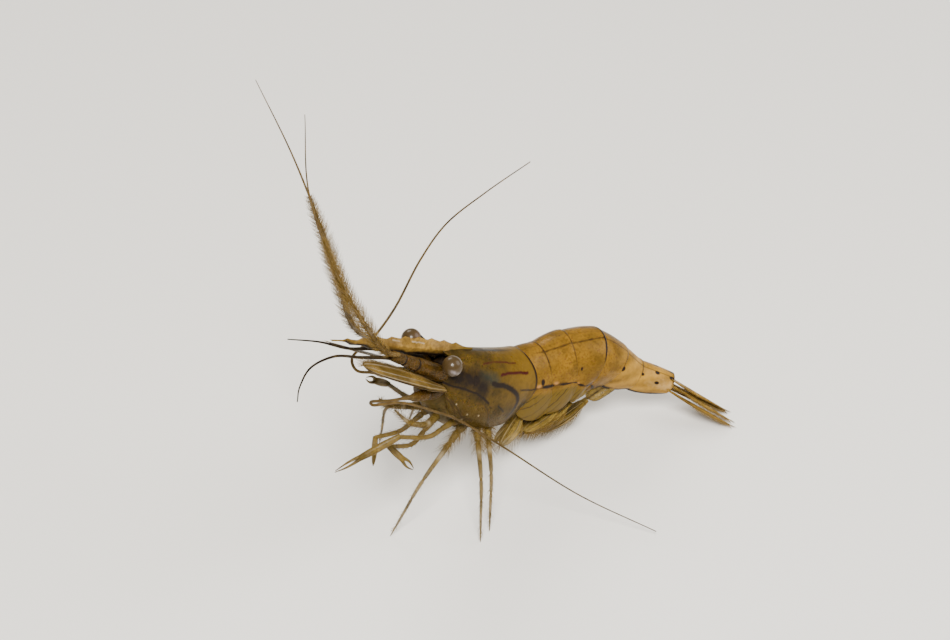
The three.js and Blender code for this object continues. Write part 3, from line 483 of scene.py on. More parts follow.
# The tail's plates, from the front: length, half width, depth to the lower edge, depth
# to the belly, and the yaw and pitch of each. The spine is worked out here because the
# hind end of the shield leans like the joint behind it.
SOMITES = [
    (0.185, 0.236, 0.543, 0.40, 8.5, 16.0),
    (0.270, 0.236, 0.594, 0.40, 2.2, -4.5),
    (0.367, 0.243, 0.558, 0.38, -5.5, 13.4),
    (0.305, 0.250, 0.448, 0.31, -13.0, 42.0),
    (0.230, 0.193, 0.383, 0.27, -18.0, 51.0),
    (0.360, 0.147, 0.268, 0.23, -24.0, 31.0),
]
TAIL_YAW, TAIL_PITCH, TAIL_ROLL = -36.0, 32.0, 28.0
HIND_END = (0.11, 0.16, 0.15)


def spine():
    """Origin, left and up of the joint in front of each plate, and of the last one's end."""
    turns = [(HEAD_YAW, HEAD_PITCH)] + [(row[4], row[5]) for row in SOMITES] + [(TAIL_YAW, TAIL_PITCH)]
    spot = HIND_EDGE.copy()
    joints = []
    for i, (before, after) in enumerate(zip(turns[:-1], turns[1:])):
        _, left, up = directions((before[0] + after[0]) / 2, (before[1] + after[1]) / 2)
        joints.append((spot.copy(), left, up))
        if i < len(SOMITES):
            spot = spot - directions(*after)[0] * SOMITES[i][0] * CARAPACE
    return joints


SPINE = spine()

grid, ahead, s = shield_grid()
places, faces = thin_plate(grid, SHELL_THICK, UP)
outer, down, along = grid.reshape(-1, 3), np.abs(s).ravel(), ahead.ravel()
edge_back = (ahead - ahead[:1]).ravel() * CARAPACE / MM
shield_marks = {
    "ink": np.maximum.reduce([
        drawn(outer, [BIG_C], 0.25),
        drawn(outer, [CHEEK_LINE], 0.12),
        0.85 * drawn(outer, [GILL_DASH, HIND_LINE], 0.10),
        0.55 * drawn(outer, LOW_LINES, 0.12),
        0.70 * drawn(outer, [DARK_CHEEK], 1.2),
        bump(edge_back, 0.05, 0.26) * bump(down, 0.25, 0.3),
        # painted shade: a thin dark line down the middle of the back, standing for the dark rim of the clear
        # shell along its top
        0.8 * bump(down, 0.0, 0.03) * np.clip(along * 3, 0, 1),
    ]),
    "rust": np.maximum(drawn(outer, [RED_DASH], 0.14), 0.8 * drawn(outer, [LIVER_LINE], 0.10)),
    "amber": 0.70 * np.clip(1.1 - along / 0.55, 0, 1) * np.clip((0.85 - down) / 0.5, 0, 1),
    "blue_grey_and_shade": drawn(outer, [BLUE_HAZE], 0.9) * 0.45,
    "pale": drawn(outer, [[(x, y, z), (x, y + 0.001, z)] for x, y, z in PALE_FLECKS], 0.12) * 0.45,
    "clear": 0.14 * np.clip((down - 0.6) / 0.4, 0, 1),
}
shield_fields = {key: np.tile(values, 2) for key, values in shield_marks.items()}
SHIELD_TINT = (0.082, 0.048, 0.006, 1.0)
SHIELD_SHADE = (0.030, 0.019, 0.003, 1.0)
shield_shell = clear_shell("shield_shell", SHIELD_TINT, SHIELD_SHADE, shield_fields, opaque=0.88)
piece("carapace_shell", places, faces, shield_shell, ["carapace"], shield_fields)

# ------------------------------------------------------------------ flesh
# One unbroken body of soft clouded flesh lies inside the shells, from the mouth to
# the root of the tail fan. Gills and liver show in it only as darker clouds.
FLESH_GAP = 0.034
SPINE_ROUND = 0.4  # 0 runs straight from joint to joint, 1 bends evenly all along
# Stations of the flesh under the shield: ahead, half width, top, belly.
CHEST = np.array([
    (0.00, 0.200, -0.03, -0.44),
    (0.12, 0.210, -0.045, -0.60),
    (0.30, 0.218, -0.052, -0.70),
    (0.50, 0.215, -0.058, -0.715),
    (0.68, 0.192, -0.068, -0.68),
    (0.82, 0.163, -0.085, -0.62),
    (0.93, 0.130, -0.14, -0.55),
    (1.02, 0.090, -0.30, -0.49),
    (1.09, 0.040, -0.37, -0.43),
])
FLESH_SIDES = 48
FLESH_STEP = 0.02
TAIL_STEPS = np.arange(5.96, 0.1, -0.04)


def body_line(w):
    """Origin, left, up, half width, depth and belly at w plates behind the shield."""
    knots = np.arange(len(SPINE))
    table = np.column_stack([knots] + [np.array([joint[k] for joint in SPINE]) for k in range(3)])
    straight = np.stack([np.interp(w, knots, table[:, k]) for k in range(1, 4)], axis=-1)
    lined = flow(table, w)
    origin = straight + (lined[..., 0:3] - straight) * SPINE_ROUND
    sizes = [row[1:4] for row in SOMITES] + [HIND_END]
    sized = flow(np.column_stack([knots, np.array(sizes)]), w)
    left = lined[..., 3:6] / np.linalg.norm(lined[..., 3:6], axis=-1, keepdims=True)
    up = lined[..., 6:9] / np.linalg.norm(lined[..., 6:9], axis=-1, keepdims=True)
    return origin, left, up, sized


def closed_loft(rings):
    """A closed skin over a row of rings, its two ends drawn together to a point."""
    rows, columns, _ = rings.shape
    places = np.concatenate([rings.reshape(-1, 3), rings[0].mean(0)[None], rings[-1].mean(0)[None]])
    index = np.arange(rows * columns).reshape(rows, columns)
    after = np.roll(index, -1, axis=1)
    sides = np.stack([index[:-1], after[:-1], after[1:], index[1:]], -1).reshape(-1, 4).tolist()
    first, last = rows * columns, rows * columns + 1
    start = [[first, b, a] for a, b in zip(index[0], after[0])]
    end = [[last, a, b] for a, b in zip(index[-1], after[-1])]
    return places, sides + start + end


def ring_values(values, sides, ends=(0, 0)):
    """One value per ring of a closed loft, for every point of the ring, and the two end points."""
    return np.concatenate([np.repeat(values, sides), ends])


def flesh_ring(half, top, low, round_of_back):
    """Across and height round the flesh: domed like the shell above it, an oval belly below."""
    turn = np.linspace(0, 2 * math.pi, FLESH_SIDES, endpoint=False)
    drop = min(ROUND_SHARE * round_of_back, 0.5 * (top - low))
    above = top - drop * (1 - np.cos(turn))
    below = top - drop + (top - drop - low) * np.cos(turn)
    return half * np.sin(turn), np.where(np.cos(turn) > 0, above, below)


def flesh_rings():
    rings = []
    for w in TAIL_STEPS:
        origin, left, up, (half, depth, belly) = body_line(np.array(w))
        thin = min(1.0, (6.0 - w) * 5 + 0.6)
        across, height = flesh_ring((half - FLESH_GAP) * thin, -FLESH_GAP, -(belly - FLESH_GAP) * thin, depth)
        rings.append(origin + left * (across * CARAPACE)[:, None] + up * (height * CARAPACE)[:, None])
    for ahead in np.arange(0.03, 1.09, FLESH_STEP):
        half, top, low = flow(CHEST, np.array(ahead))
        across, height = flesh_ring(half, top, low, flow(SHIELD, np.array(ahead))[1])
        rings.append(np.array([at(ahead, x, y) for x, y in zip(across, height)]))
    return np.array(rings)


FLESH_TINT = (0.130, 0.085, 0.022, 1.0)
FLESH_SHADE = (0.055, 0.038, 0.010, 1.0)
LIVER = [(0.90, 0.0, -0.20), (0.70, 0.0, -0.20), (0.50, 0.0, -0.18)]
rings = flesh_rings()
places, faces = closed_loft(rings)
tail_rings = np.clip((TAIL_STEPS - 3.0) / 1.6, 0, 1)
clearness = np.concatenate([tail_rings, np.zeros(len(rings) - len(tail_rings))])
flesh_fields = {
    "honey": 0.60 * ring_values(clearness, FLESH_SIDES, (1, 0)),
    "ink": 0.75 * bump(to_path(places, through([at(*spot) for spot in LIVER], 30)), 0, 2.6 * MM),
    "blue_grey_and_shade": 0.5 * drawn(places, [[(0.55, 0.2, -0.3), (0.2, 0.22, -0.4)]], 2.2),
}
flesh = clear_shell("clouded_flesh", FLESH_TINT, FLESH_SHADE, flesh_fields, opaque=0.80, glow=0.3, gloss=0.4)
piece("flesh_skin", places, faces, flesh, ["thorax", "mouthparts"], flesh_fields)

# ------------------------------------------------------------------ tail plates
# Six rings of thin shell, each overlapping the one behind. The second one's side lobe
# lies over both neighbours. A dark line with peach spots runs where the lobes begin.
PLATE_ROWS = 44
PLATE_COLUMNS = 70
OVERLAP = [0.10, 0.12, 0.10, 0.12, 0.10, 0.0]
LOBE_SPREAD = [0.10, 0.24, 0.12, 0.10, 0.06, 0.0]
LOBE_DEEPER = [0, 0, 0.06, 0.06, 0, 0]  # how much lower the lobes hang than those of the rest
BOLD_REAR = 2  # the plate whose dark rear edge is the boldest
# Where the side lobes begin, by place along the tail: how far down the side.
LOBE_START = np.array([(0.0, 0.47), (0.8, 0.45), (1.4, 0.48), (2.3, 0.66), (3.0, 0.82), (3.8, 0.93),
                       (4.7, 0.96), (6.0, 0.96)])
PEACH_SPOTS = (0.45, 1.24, 2.19, 3.1, 3.74, 4.6)
# Dark spots: place along the tail, how far down the side, radius in mm.
SIDE_SPOTS = [(2.23, 0.41, 0.14), (4.11, 0.36, 0.26), (5.10, 0.27, 0.22), (5.49, 0.12, 0.28),
              (5.55, 0.36, 0.26), (5.92, 0.12, 0.34), (0.62, 0.40, 0.20)]
GUT_LINE = np.array([(0.0, 0.10), (1.1, 0.11), (2.0, 0.14), (2.6, 0.11), (2.9, 0.09), (4.5, 0.10),
                     (6.0, 0.08)])
PLATE_TINT = (0.225, 0.112, 0.012, 1.0)
PLATE_SHADE = (0.125, 0.066, 0.008, 1.0)


def plate_grid(i):
    """Outer face of tail plate i, and the place along the tail and across it of each point."""
    s = np.linspace(-1, 1, 2 * PLATE_COLUMNS + 1)[None, :]
    t = np.linspace(0, 1, PLATE_ROWS)[:, None]
    lobe = np.clip((np.abs(s) - 0.55) / 0.45, 0, 1)
    length = SOMITES[i][0]
    front = i + 0.01 - LOBE_SPREAD[i] * 0.3 / length * lobe * (i > 0)
    hind = i + 1 + OVERLAP[i] * 0.3 / length * 0.6 + LOBE_SPREAD[i] * 0.3 / length * lobe
    w = front + (hind - front) * t
    origin, left, up, sizes = body_line(w)
    half, depth = sizes[..., 0], sizes[..., 1]
    grow = 0.006 * t + 0.008 * lobe * (i == 1) + 0.004 * np.sin(math.pi * t) * (1 - lobe)
    grow = grow - (0.016 if i == 0 else 0.004) * (1 - t) ** 2
    droop = 0.90 + 0.16 * np.sin(math.pi * np.clip(t, 0, 1)) ** 0.7 + LOBE_DEEPER[i]
    across, height = body_outline(s, half + grow, depth * (1 + (droop - 1) * lobe))
    across = across * (1 + 0.03 * np.sin(math.pi * t))
    height = height + grow
    grid = origin + left * (across * CARAPACE)[..., None] + up * (height * CARAPACE)[..., None]
    return grid, w + 0 * s, s + 0 * w


def twice(values):
    """Values of a plate's outer face, for its inner face too."""
    return np.concatenate([values.ravel()] * 2)


lengths = np.array([row[0] for row in SOMITES])
plate_shell = clear_shell("plate_shell", PLATE_TINT, PLATE_SHADE,
                          ("olive", "honey", "blue_grey_and_shade", "pale", "peach", "ink", "clear"), opaque=0.92)
for i in range(len(SOMITES)):
    grid, w, s = plate_grid(i)
    places, faces = thin_plate(grid, SHELL_THICK, UP)
    w, down = twice(w), np.abs(twice(s))
    millimetres = CARAPACE / MM * lengths[np.clip(w.astype(int), 0, 5)]
    edge = (i + 1 + OVERLAP[i] * 0.18 / lengths[i] - w) * millimetres
    level = flow(LOBE_START, w)[:, 0]
    plate_depth = np.interp(w, np.arange(7), [row[2] for row in SOMITES] + [HIND_END[1]])
    broad = 0.0105 + 0.003 * np.sin(w * 9) + 0.008 * np.clip(w - 2.3, 0, 1)
    line = bump(down, level, broad / plate_depth) * (1 - 0.2 * np.sin(w * 5.5) ** 2)
    line = line * np.clip((w - 0.1) * 4, 0, 1)
    strength, width = (1.0, 0.24) if i == BOLD_REAR else (0.6, 0.12)
    rear = strength * bump(edge, 0.08, width)
    rear = rear * np.clip((0.50 - down) / 0.25, 0.25, 1) * (down < 0.62)
    gut = 0.6 * bump(down, flow(GUT_LINE, w)[:, 0], 0.014) * np.clip(w, 0, 1)
    spots = np.zeros(len(w))
    for spot_w, spot_s, radius in SIDE_SPOTS:
        away = np.hypot((w - spot_w) * millimetres, (down - spot_s) * 6.0)
        spots = np.maximum(spots, np.exp(-((away / radius) ** 4)))
    peach = np.zeros(len(w))
    for spot in PEACH_SPOTS:
        away = np.hypot((w - spot) * millimetres * 0.6, (down - level + 0.015) * 8.0)
        peach = np.maximum(peach, 0.65 * np.exp(-((away / 0.19) ** 2)))
    lobe = np.clip((down - level) / 0.12, 0, 1)
    hang = (down + 0.4 * w) * 58 + 1.5 * np.sin(w * 5 + down * 11) + 0.35 * np.sin(w * 19 - down * 27)
    broken = 0.35 + 0.65 * np.clip(0.6 + np.sin(w * 13 + down * 37), 0, 1)
    streaks = lobe * broken * np.clip(np.cos(hang) * 3 - 1.7, 0, 1)
    gleams = lobe * (1.2 - broken) * np.clip(np.cos(hang * 0.61 + 1.3) * 3 - 2.2, 0, 1)
    # painted shade: a thin dark line down the middle of the back of the front plates, for the dark rim of the
    # clear shell
    ridge = 0.35 * bump(down, 0.0, 0.012) * (w < 3.1)
    fields = {
        "ink": np.maximum.reduce([line * (1 - peach), rear, gut, spots, ridge, 0.55 * streaks,
                                  0.9 * drawn(places, [HIND_LINE], 0.1) if i == 0 else 0 * w]),
        "peach": peach,
        "olive": 0.75 * lobe * np.clip((3.4 - w) / 0.8, 0, 1),
        # painted shade: a dark band just under the lobes' line, fading down the lobes
        "blue_grey_and_shade": 0.34 * lobe * np.clip(1 - (down - level) / 0.22, 0, 1) * np.clip((3.6 - w) / 0.8, 0, 1),
        "honey": np.clip((w - 3.1) / 1.6, 0, 1) * (0.44 + 0.10 * np.sin(w * 8 + down * 13)),
        "pale": np.maximum(0.25 * np.clip((w - 4.2) / 1.5, 0, 1) * bump(down, 0.4, 0.3),
                           0.28 * gleams * (w < 3.4)),
        "clear": 0.02 + 0.10 * np.clip((w - 3.2) / 1.6, 0, 1) + 0.30 * lobe * np.clip((3.6 - w) / 1.2, 0, 1),
    }
    piece(f"tail_plate_{i + 1}", places, faces, plate_shell, [f"abdomen_{i + 1}"], fields)

# ------------------------------------------------------------------ rostrum
# The beak between the eyes: a stiff upright blade that grows out of the shield, with
# nine teeth above and four below, and a dark stripe along its keel.
BEAK_ROOT = 0.62
BEAK_TIP = 2.24
BEAK_STEPS = 240
BEAK_SIDES = 13
BEAK_HALF_THICK = 0.022
CREST_FROM, CREST_HIGH = 0.7, 0.055
KEEL_FROM, KEEL_DEEP = 1, 0.055
UPPER_TEETH = (0.74, BEAK_TIP - 0.12, 9)  # where the row starts and stops, and how many
LOWER_TEETH = (1.25, BEAK_TIP - 0.15, 4)
TOOTH = 0.017
LOWER_SHARE = 0.8  # height of a lower tooth, against an upper one
KEEL_LINE = [(0.95, 0.02, -0.10), (1.35, 0.02, -0.100), (1.75, 0.02, -0.085), (2.1, 0.01, -0.055)]
TIP_LINE = [(1.7, 0.0, -0.04), (2.24, 0.0, -0.03)]
# Painted highlights: short pale glints drawn along the blade.
BEAK_PAINTED_GLINTS = [[(1.24, 0.01, 0.0), (1.38, 0.01, 0.01)], [(1.52, 0.01, 0.01), (1.60, 0.01, 0.01)],
               [(1.75, 0.0, 0.0), (1.82, 0.0, 0.0)]]
BEAK_TINT = (0.400, 0.232, 0.046, 1.0)
BEAK_SHADE = (0.160, 0.088, 0.016, 1.0)


def saw(x, start, stop, teeth):
    """Height of a row of teeth that lean forward, each rising slowly and dropping short."""
    share = np.clip((x - start) / (stop - start), 0, 1) * teeth
    part = share - np.floor(share)
    tooth = np.where(part < 0.72, part / 0.72, (1 - part) / 0.28) ** 1.4
    return tooth * (x > start) * (x < stop)


def beak_edges(x):
    """Heights of the blade's upper and lower edges at x, teeth and all, meeting at the tip."""
    t = (x - CREST_FROM) / (BEAK_TIP - CREST_FROM)
    upper = -0.01 + CREST_HIGH * np.sin(math.pi * np.clip(t * 1.15, 0, 1)) * (1 - 0.4 * t) - 0.01 * t
    u = np.clip((x - KEEL_FROM) / (BEAK_TIP - KEEL_FROM), 0, 1)
    bulge = np.sin(math.pi * np.clip(0.3 + u * 0.7, 0, 1))
    lower = -0.055 - KEEL_DEEP * bulge * (1 - u * 0.2) + 0.035 * u
    upper = upper + TOOTH * saw(x, *UPPER_TEETH)
    lower = lower - TOOTH * LOWER_SHARE * saw(x, *LOWER_TEETH)
    tip = np.clip((BEAK_TIP - x) / 0.1, 0, 1)
    middle = -0.029
    return middle + (upper - middle) * tip, middle + (lower - middle) * tip


x = np.linspace(BEAK_ROOT, BEAK_TIP, BEAK_STEPS)
upper, lower = beak_edges(x)
v = np.linspace(-1, 1, BEAK_SIDES)
ring_v = np.concatenate([v, v[-2:0:-1]])
ring_side = np.concatenate([np.ones(BEAK_SIDES), -np.ones(BEAK_SIDES - 2)])
belly = np.sqrt(np.clip(1 - ring_v**2, 0, 1)) * (1 + 0.5 * bump(ring_v, -0.1, 0.15))
rings = []
for place, high, low in zip(x, upper, lower):
    thick = BEAK_HALF_THICK * (0.45 + 0.55 * np.clip((BEAK_TIP - place) / 1.3, 0, 1))
    thick = thick * (0.15 + 0.85 * np.clip((place - BEAK_ROOT) / 0.35, 0, 1))
    height = (high + low) / 2 + (high - low) / 2 * ring_v
    rings.append([at(place, thick * b * k, h) for b, k, h in zip(belly, ring_side, height)])
rings = np.array(rings)
places, faces = closed_loft(rings)
beak_fields = {
    "ink": np.maximum(0.85 * drawn(places, [KEEL_LINE], 0.34), 0.6 * drawn(places, [TIP_LINE], 0.3)),
    "olive": ring_values(np.clip(1 - (x - BEAK_ROOT) / 0.4, 0, 1), len(ring_v), (1, 0)),
    # the pale strokes are painted highlights
    "pale": 0.45 * drawn(places, BEAK_PAINTED_GLINTS, 0.10),
    "clear": 0.12,
}
beak_shell = clear_shell("beak_shell", BEAK_TINT, BEAK_SHADE, beak_fields, opaque=0.96, spots=0.3)
piece("rostrum_blade", places, faces, beak_shell, ["rostrum"], beak_fields)

# ------------------------------------------------------------------ eyes
# Round dark brown compound eyes of fine facets, glossy, with a painted highlight at the side.
# Each sits on the end of a clear brown stalk that widens towards the eye.
EYE_RADIUS = 0.9 * MM
STALK_ROOT = (0.93, 0.07, -0.12)
EYE_DARK = (0.046, 0.028, 0.010, 1.0)
EYE_BROWN = (0.075, 0.042, 0.020, 1.0)
# pale colour of the highlight painted on each eye
EYE_GLINT_PAINT = (0.62, 0.55, 0.60, 1.0)


def frames_along(points, broad=None):
    """Two directions across a path at each of its points, carried along without twisting."""
    ways = np.gradient(points, axis=0)
    ways = ways / np.linalg.norm(ways, axis=1, keepdims=True)
    across = np.cross(ways[0], UP if abs(ways[0] @ UP) < 0.9 else LEFT) if broad is None else broad
    seconds, thirds = [], []
    for way in ways:
        across = across - way * (across @ way)
        across = across / np.linalg.norm(across)
        seconds.append(across)
        thirds.append(np.cross(way, across))
    return np.array(seconds), np.array(thirds)


def tube(points, radii, sides=10, broad=None):
    """Rings round a path; radii may be one number per point, or pairs for an oval. The first
    of a pair is taken along broad, where that is given."""
    seconds, thirds = frames_along(points, broad)
    turn = np.linspace(0, 2 * math.pi, sides, endpoint=False)
    radii = np.asarray(radii, float)
    wide = radii if radii.ndim == 1 else radii[:, 0]
    high = radii if radii.ndim == 1 else radii[:, 1]
    return (points[:, None] + seconds[:, None] * (wide[:, None] * np.cos(turn))[..., None]
            + thirds[:, None] * (high[:, None] * np.sin(turn))[..., None])


def eye_glass():
    material = bpy.data.materials.new("eye_glass")
    material.use_nodes = True
    tree = material.node_tree
    shader = tree.nodes["Principled BSDF"]
    place = tree.nodes.new("ShaderNodeTexCoord").outputs["Object"]
    facets = tree.nodes.new("ShaderNodeTexVoronoi")
    facets.inputs["Scale"].default_value = 1.0 / (0.055 * MM)
    tree.links.new(place, facets.inputs["Vector"])
    colour = blend(tree, field(tree, "brown"), EYE_DARK, EYE_BROWN)
    # painted highlight: a pale patch laid over the eye's own colour
    gleam = sum_up(tree, "MULTIPLY", field(tree, "painted_glint"), noise(tree, 0.2))
    colour = blend(tree, gleam, colour, EYE_GLINT_PAINT)
    tree.links.new(colour, shader.inputs["Base Color"])
    shader.inputs["Roughness"].default_value = 0.34
    shader.inputs["Specular IOR Level"].default_value = 0.15
    shader.inputs["Coat Weight"].default_value = 0.22
    shader.inputs["Coat Roughness"].default_value = 0.04
    relief = tree.nodes.new("ShaderNodeBump")
    relief.inputs["Strength"].default_value = 0.12
    relief.inputs["Distance"].default_value = 0.01 * MM
    tree.links.new(facets.outputs["Distance"], relief.inputs["Height"])
    tree.links.new(relief.outputs["Normal"], shader.inputs["Normal"])
    return material


cornea = eye_glass()
STALK_TINT = (0.17, 0.12, 0.06, 1.0)
STALK_SHADE = (0.06, 0.045, 0.025, 1.0)
stalk_shell = clear_shell("stalk_shell", STALK_TINT, STALK_SHADE, ("ink", "clear"), opaque=0.9)
for side, sign in SIDES.items():
    centre = middle_of(f"eye_{side}")
    root = on_side(sign, STALK_ROOT)
    axis = (centre - root) / np.linalg.norm(centre - root)
    turn = np.linspace(0.02, math.pi - 0.02, 40)
    points = centre + axis * (-EYE_RADIUS * np.cos(turn))[:, None]
    rings = tube(points, EYE_RADIUS * np.sin(turn), 48)
    places, faces = closed_loft(rings)
    out = (places - centre) @ axis / EYE_RADIUS
    above = (places - centre) @ UP / EYE_RADIUS
    front = (places - centre) @ (LEFT * sign) / EYE_RADIUS
    # brown towards the stalk; the pale patch high on the outer side is a painted highlight
    fields = {"brown": bump(out, -0.5, 0.5),
              "painted_glint": 0.6 * bump(above, -0.30, 0.16) * bump(front, 0.80, 0.16)}
    piece(f"eye_ball_{side}", places, faces, cornea, [f"eye_{side}"], fields)
    t = np.linspace(0, 1, 26)
    points = root + (centre - root) * (t * 0.82)[:, None]
    radii = (0.40 + 0.34 * t**1.4 - 0.06 * bump(t, 0.5, 0.15)) * MM
    places, faces = closed_loft(tube(points, radii, 28))
    share = (places - root) @ axis / np.linalg.norm(centre - root)
    stalk_fields = {"ink": 0.8 * np.clip((share - 0.45) * 3, 0, 1), "clear": 0.1}
    piece(f"eye_stalk_{side}", places, faces, stalk_shell, [f"eyestalk_{side}"],
          stalk_fields)

# ------------------------------------------------------------------ antennules
# The upper feelers: a stem of three clear joints, a long outer lash whose thick first
# part carries a brush of scent hairs, and a shorter inner lash. All ringed and tapering.
STEM_FROM = (0.97, 0.10, -0.22)
STEM_TO = (1.66, 0.10, -0.075)
LASH_START = 1.66 + 0.12 / 11
OUTER_LASH = {
    "left": [(0.14, -0.05), (1.88, 0.16, 0.01), (1.98, 0.03, 0.12), (2.03, -0.29, 0.30), (2.2, -0.77, 0.81),
             (2.32, -0.98, 1.34)],
    "right": [(-0.14, -0.05), (1.84, -0.22, 0.02), (1.93, -0.4, 0.26), (2.05, -0.66, 0.58),
              (2.18, -1.08, 0.98), (2.33, -1.59, 1.38)],
}
INNER_LASH = {
    "left": [(0.075, -0.11), (1.95, 0.07, -0.12), (2.22, 0.06, -0.13), (2.37, 0.03, -0.24),
             (2.35, -0.02, -0.42), (2.26, -0.07, -0.57)],
    "right": [(-0.075, -0.11), (1.95, -0.08, -0.12), (2.22, -0.12, -0.1), (2.46, -0.2, -0.13)],
}
# Tapers: shares of the length, and the radius at each, in mm or against the thickness.
STEM_TAPER = ([0, 0.1, 0.52, 0.55, 0.58, 0.76, 0.79, 0.82, 0.97, 1],
              [0.60, 0.76, 0.68, 0.52, 0.60, 0.52, 0.43, 0.50, 0.45, 0.2])
OUTER_TAPER = ([0, 0.05, 0.45, 1], [1, 1, 0.62, 0.16])
INNER_TAPER = ([0, 0.1, 1], [0.2, 0.17, 0.05])
STEM_LINE = [(0.98, 0.03, -0.19), (1.25, 0.04, -0.13), (1.6, 0.06, -0.04)]
STEM_TINT = (0.095, 0.048, 0.007, 1.0)
STEM_SHADE = (0.040, 0.023, 0.006, 1.0)
FEELER_TINT = (0.170, 0.105, 0.030, 1.0)
FEELER_SHADE = (0.070, 0.045, 0.015, 1.0)
HAIR_HALF = 0.016 * MM
UV_PATCH = 0.003  # the side of each hair's patch
BRUSH_FROM, BRUSH_TO, BRUSH_ROWS = 26, 235, 10  # steps of the outer lash, and hairs at each
draw = np.random.default_rng(11)


def lash_path(spots, count):
    (side, above), rest = spots[0], spots[1:]
    start = [at(LASH_START - 0.05, side, above), at(LASH_START + 0.04, side, above)]
    return through(start + [at(*spot) for spot in rest], count)


def ringed(radii, rings_each, depth=0.12):
    """The same radii, drawn in a little between the rings of a feeler."""
    part = np.arange(len(radii)) % rings_each / rings_each
    return radii * (1 - depth * (part == 0))


def hairs(name, roots, ways, lengths, bends, roots_uv):
    """Joined fine hairs: each a three-sided spike in two lengths, bent towards bends, with its
    own small patch of the UV map."""
    turn = np.array([0, 2, 4]) * math.pi / 3
    places, faces, patches = [], [], []
    for root, way, length, bend, (u, v) in zip(roots, ways, lengths, bends, roots_uv):
        across = np.cross(way, bend + np.array([0.01, 0.02, 0.03]))
        across = across / max(np.linalg.norm(across), 1e-9)
        over = np.cross(way, across)
        middle = root + way * length * 0.5 + bend * length * 0.06
        tip = root + way * length + bend * length * 0.25
        base = len(places)
        for spot, size in ((root, HAIR_HALF), (middle, HAIR_HALF * 0.7)):
            places.extend(spot + (across * math.cos(a) + over * math.sin(a)) * size for a in turn)
        places.append(tip)
        for k in range(3):
            n = (k + 1) % 3
            faces.append([base + k, base + n, base + 3 + n, base + 3 + k])
            faces.append([base + 3 + k, base + 3 + n, base + 6])
        faces.append([base + 2, base + 1, base])
        for k in range(7):
            patches.append((u + UV_PATCH * (k % 3) / 3, v + UV_PATCH * (k // 3) / 3))
    thing = piece(name, places, faces, hair)
    layer = thing.data.uv_layers.new(name="OFBake")
    corners = np.empty(len(thing.data.loops), dtype=np.int32)
    thing.data.loops.foreach_get("vertex_index", corners)
    layer.data.foreach_set("uv", np.array(patches)[corners].astype(np.float32).ravel())


def set_hair(path, across, radii, k, out_share, ahead_share):
    """A hair on a limb at step k, at a random place round it: its root, way and bend, and the
    share of the turn. It points out and ahead by the two shares."""
    turn = draw.uniform(0, 2 * math.pi)
    out = across[0][k] * math.cos(turn) + across[1][k] * math.sin(turn)
    forward = path[k + 1] - path[k]
    forward = forward / np.linalg.norm(forward)
    way = out * out_share + forward * ahead_share
    return path[k] + out * radii[k] * 0.8, way / np.linalg.norm(way), forward, turn / (2 * math.pi)


def hair_material():
    material = bpy.data.materials.new("hair")
    material.use_nodes = True
    tree = material.node_tree
    shader = tree.nodes["Principled BSDF"]
    tree.links.new(blend(tree, noise(tree, 0.8), (0.33, 0.198, 0.036, 1.0), (0.145, 0.088, 0.014, 1.0)),
                   shader.inputs["Base Color"])
    shader.inputs["Roughness"].default_value = 0.4
    shader.inputs["Alpha"].default_value = 0.6
    return material


hair = hair_material()
stem_shell = clear_shell("stem_shell", STEM_TINT, STEM_SHADE, ("ink", "clear"), opaque=0.95)
feeler = clear_shell("feeler_skin", FEELER_TINT, FEELER_SHADE, ("ink", "clear"), opaque=0.97, spots=0.25)
for side, sign in SIDES.items():
    start = on_side(sign, STEM_FROM)
    end = on_side(sign, STEM_TO)
    t = np.linspace(0, 1, 70)
    radii = np.interp(t, *STEM_TAPER) * MM
    places, faces = closed_loft(tube(start + (end - start) * t[:, None], radii, 24))
    share = (places - start) @ (end - start) / ((end - start) @ (end - start))
    stem_fields = {
        "ink": np.maximum.reduce([0.8 * bump(share, 0.55, 0.018), 0.8 * bump(share, 0.79, 0.018),
                                  0.75 * drawn(places, [STEM_LINE], 0.34)]),
        "clear": 0.12,
    }
    piece(f"antennule_stem_skin_{side}", places, faces, stem_shell, [f"antennule_stem_{side}"],
          stem_fields)
    path = lash_path(OUTER_LASH[side], 420)
    t = np.linspace(0, 1, len(path))
    thick = 0.19 + 0.08 * bump(t, 0.16, 0.12)
    radii = np.interp(t, *OUTER_TAPER) * thick * MM
    places, faces = closed_loft(tube(path, ringed(radii, 3), 10))
    fade = ring_values(t, 10, (0, 1))
    fields = {"ink": 0.5 * fade, "clear": 0.30 * (1 - fade)}
    piece(f"antennule_outer_lash_{side}", places, faces, feeler,
          [f"antennule_outer_{side}"], fields)
    across = frames_along(path)
    roots, ways, lengths, bends, uvs = [], [], [], [], []
    for k in range(BRUSH_FROM, BRUSH_TO):
        swell = 0.25 + 0.75 * math.sin(math.pi * (k - BRUSH_FROM) / (BRUSH_TO - BRUSH_FROM)) ** 0.6
        for row in range(BRUSH_ROWS):
            root, way, forward, turned = set_hair(path, across, radii, k, 0.80, 0.60)
            roots.append(root)
            ways.append(way)
            lengths.append(draw.uniform(0.75, 1.25) * MM * swell)
            bends.append(forward)
            uvs.append((t[k], turned))
    hairs(f"scent_hairs_{side}", roots, ways, lengths, bends, uvs)
    path = lash_path(INNER_LASH[side], 260)
    t = np.linspace(0, 1, len(path))
    radii = np.interp(t, *INNER_TAPER) * MM
    places, faces = closed_loft(tube(path, ringed(radii, 3), 8))
    fade = ring_values(t, 8, (0, 1))
    piece(f"antennule_inner_lash_{side}", places, faces, feeler, [f"antennule_inner_{side}"],
          {"ink": 0.55 + 0.2 * fade, "clear": 0.1 * (1 - fade)})

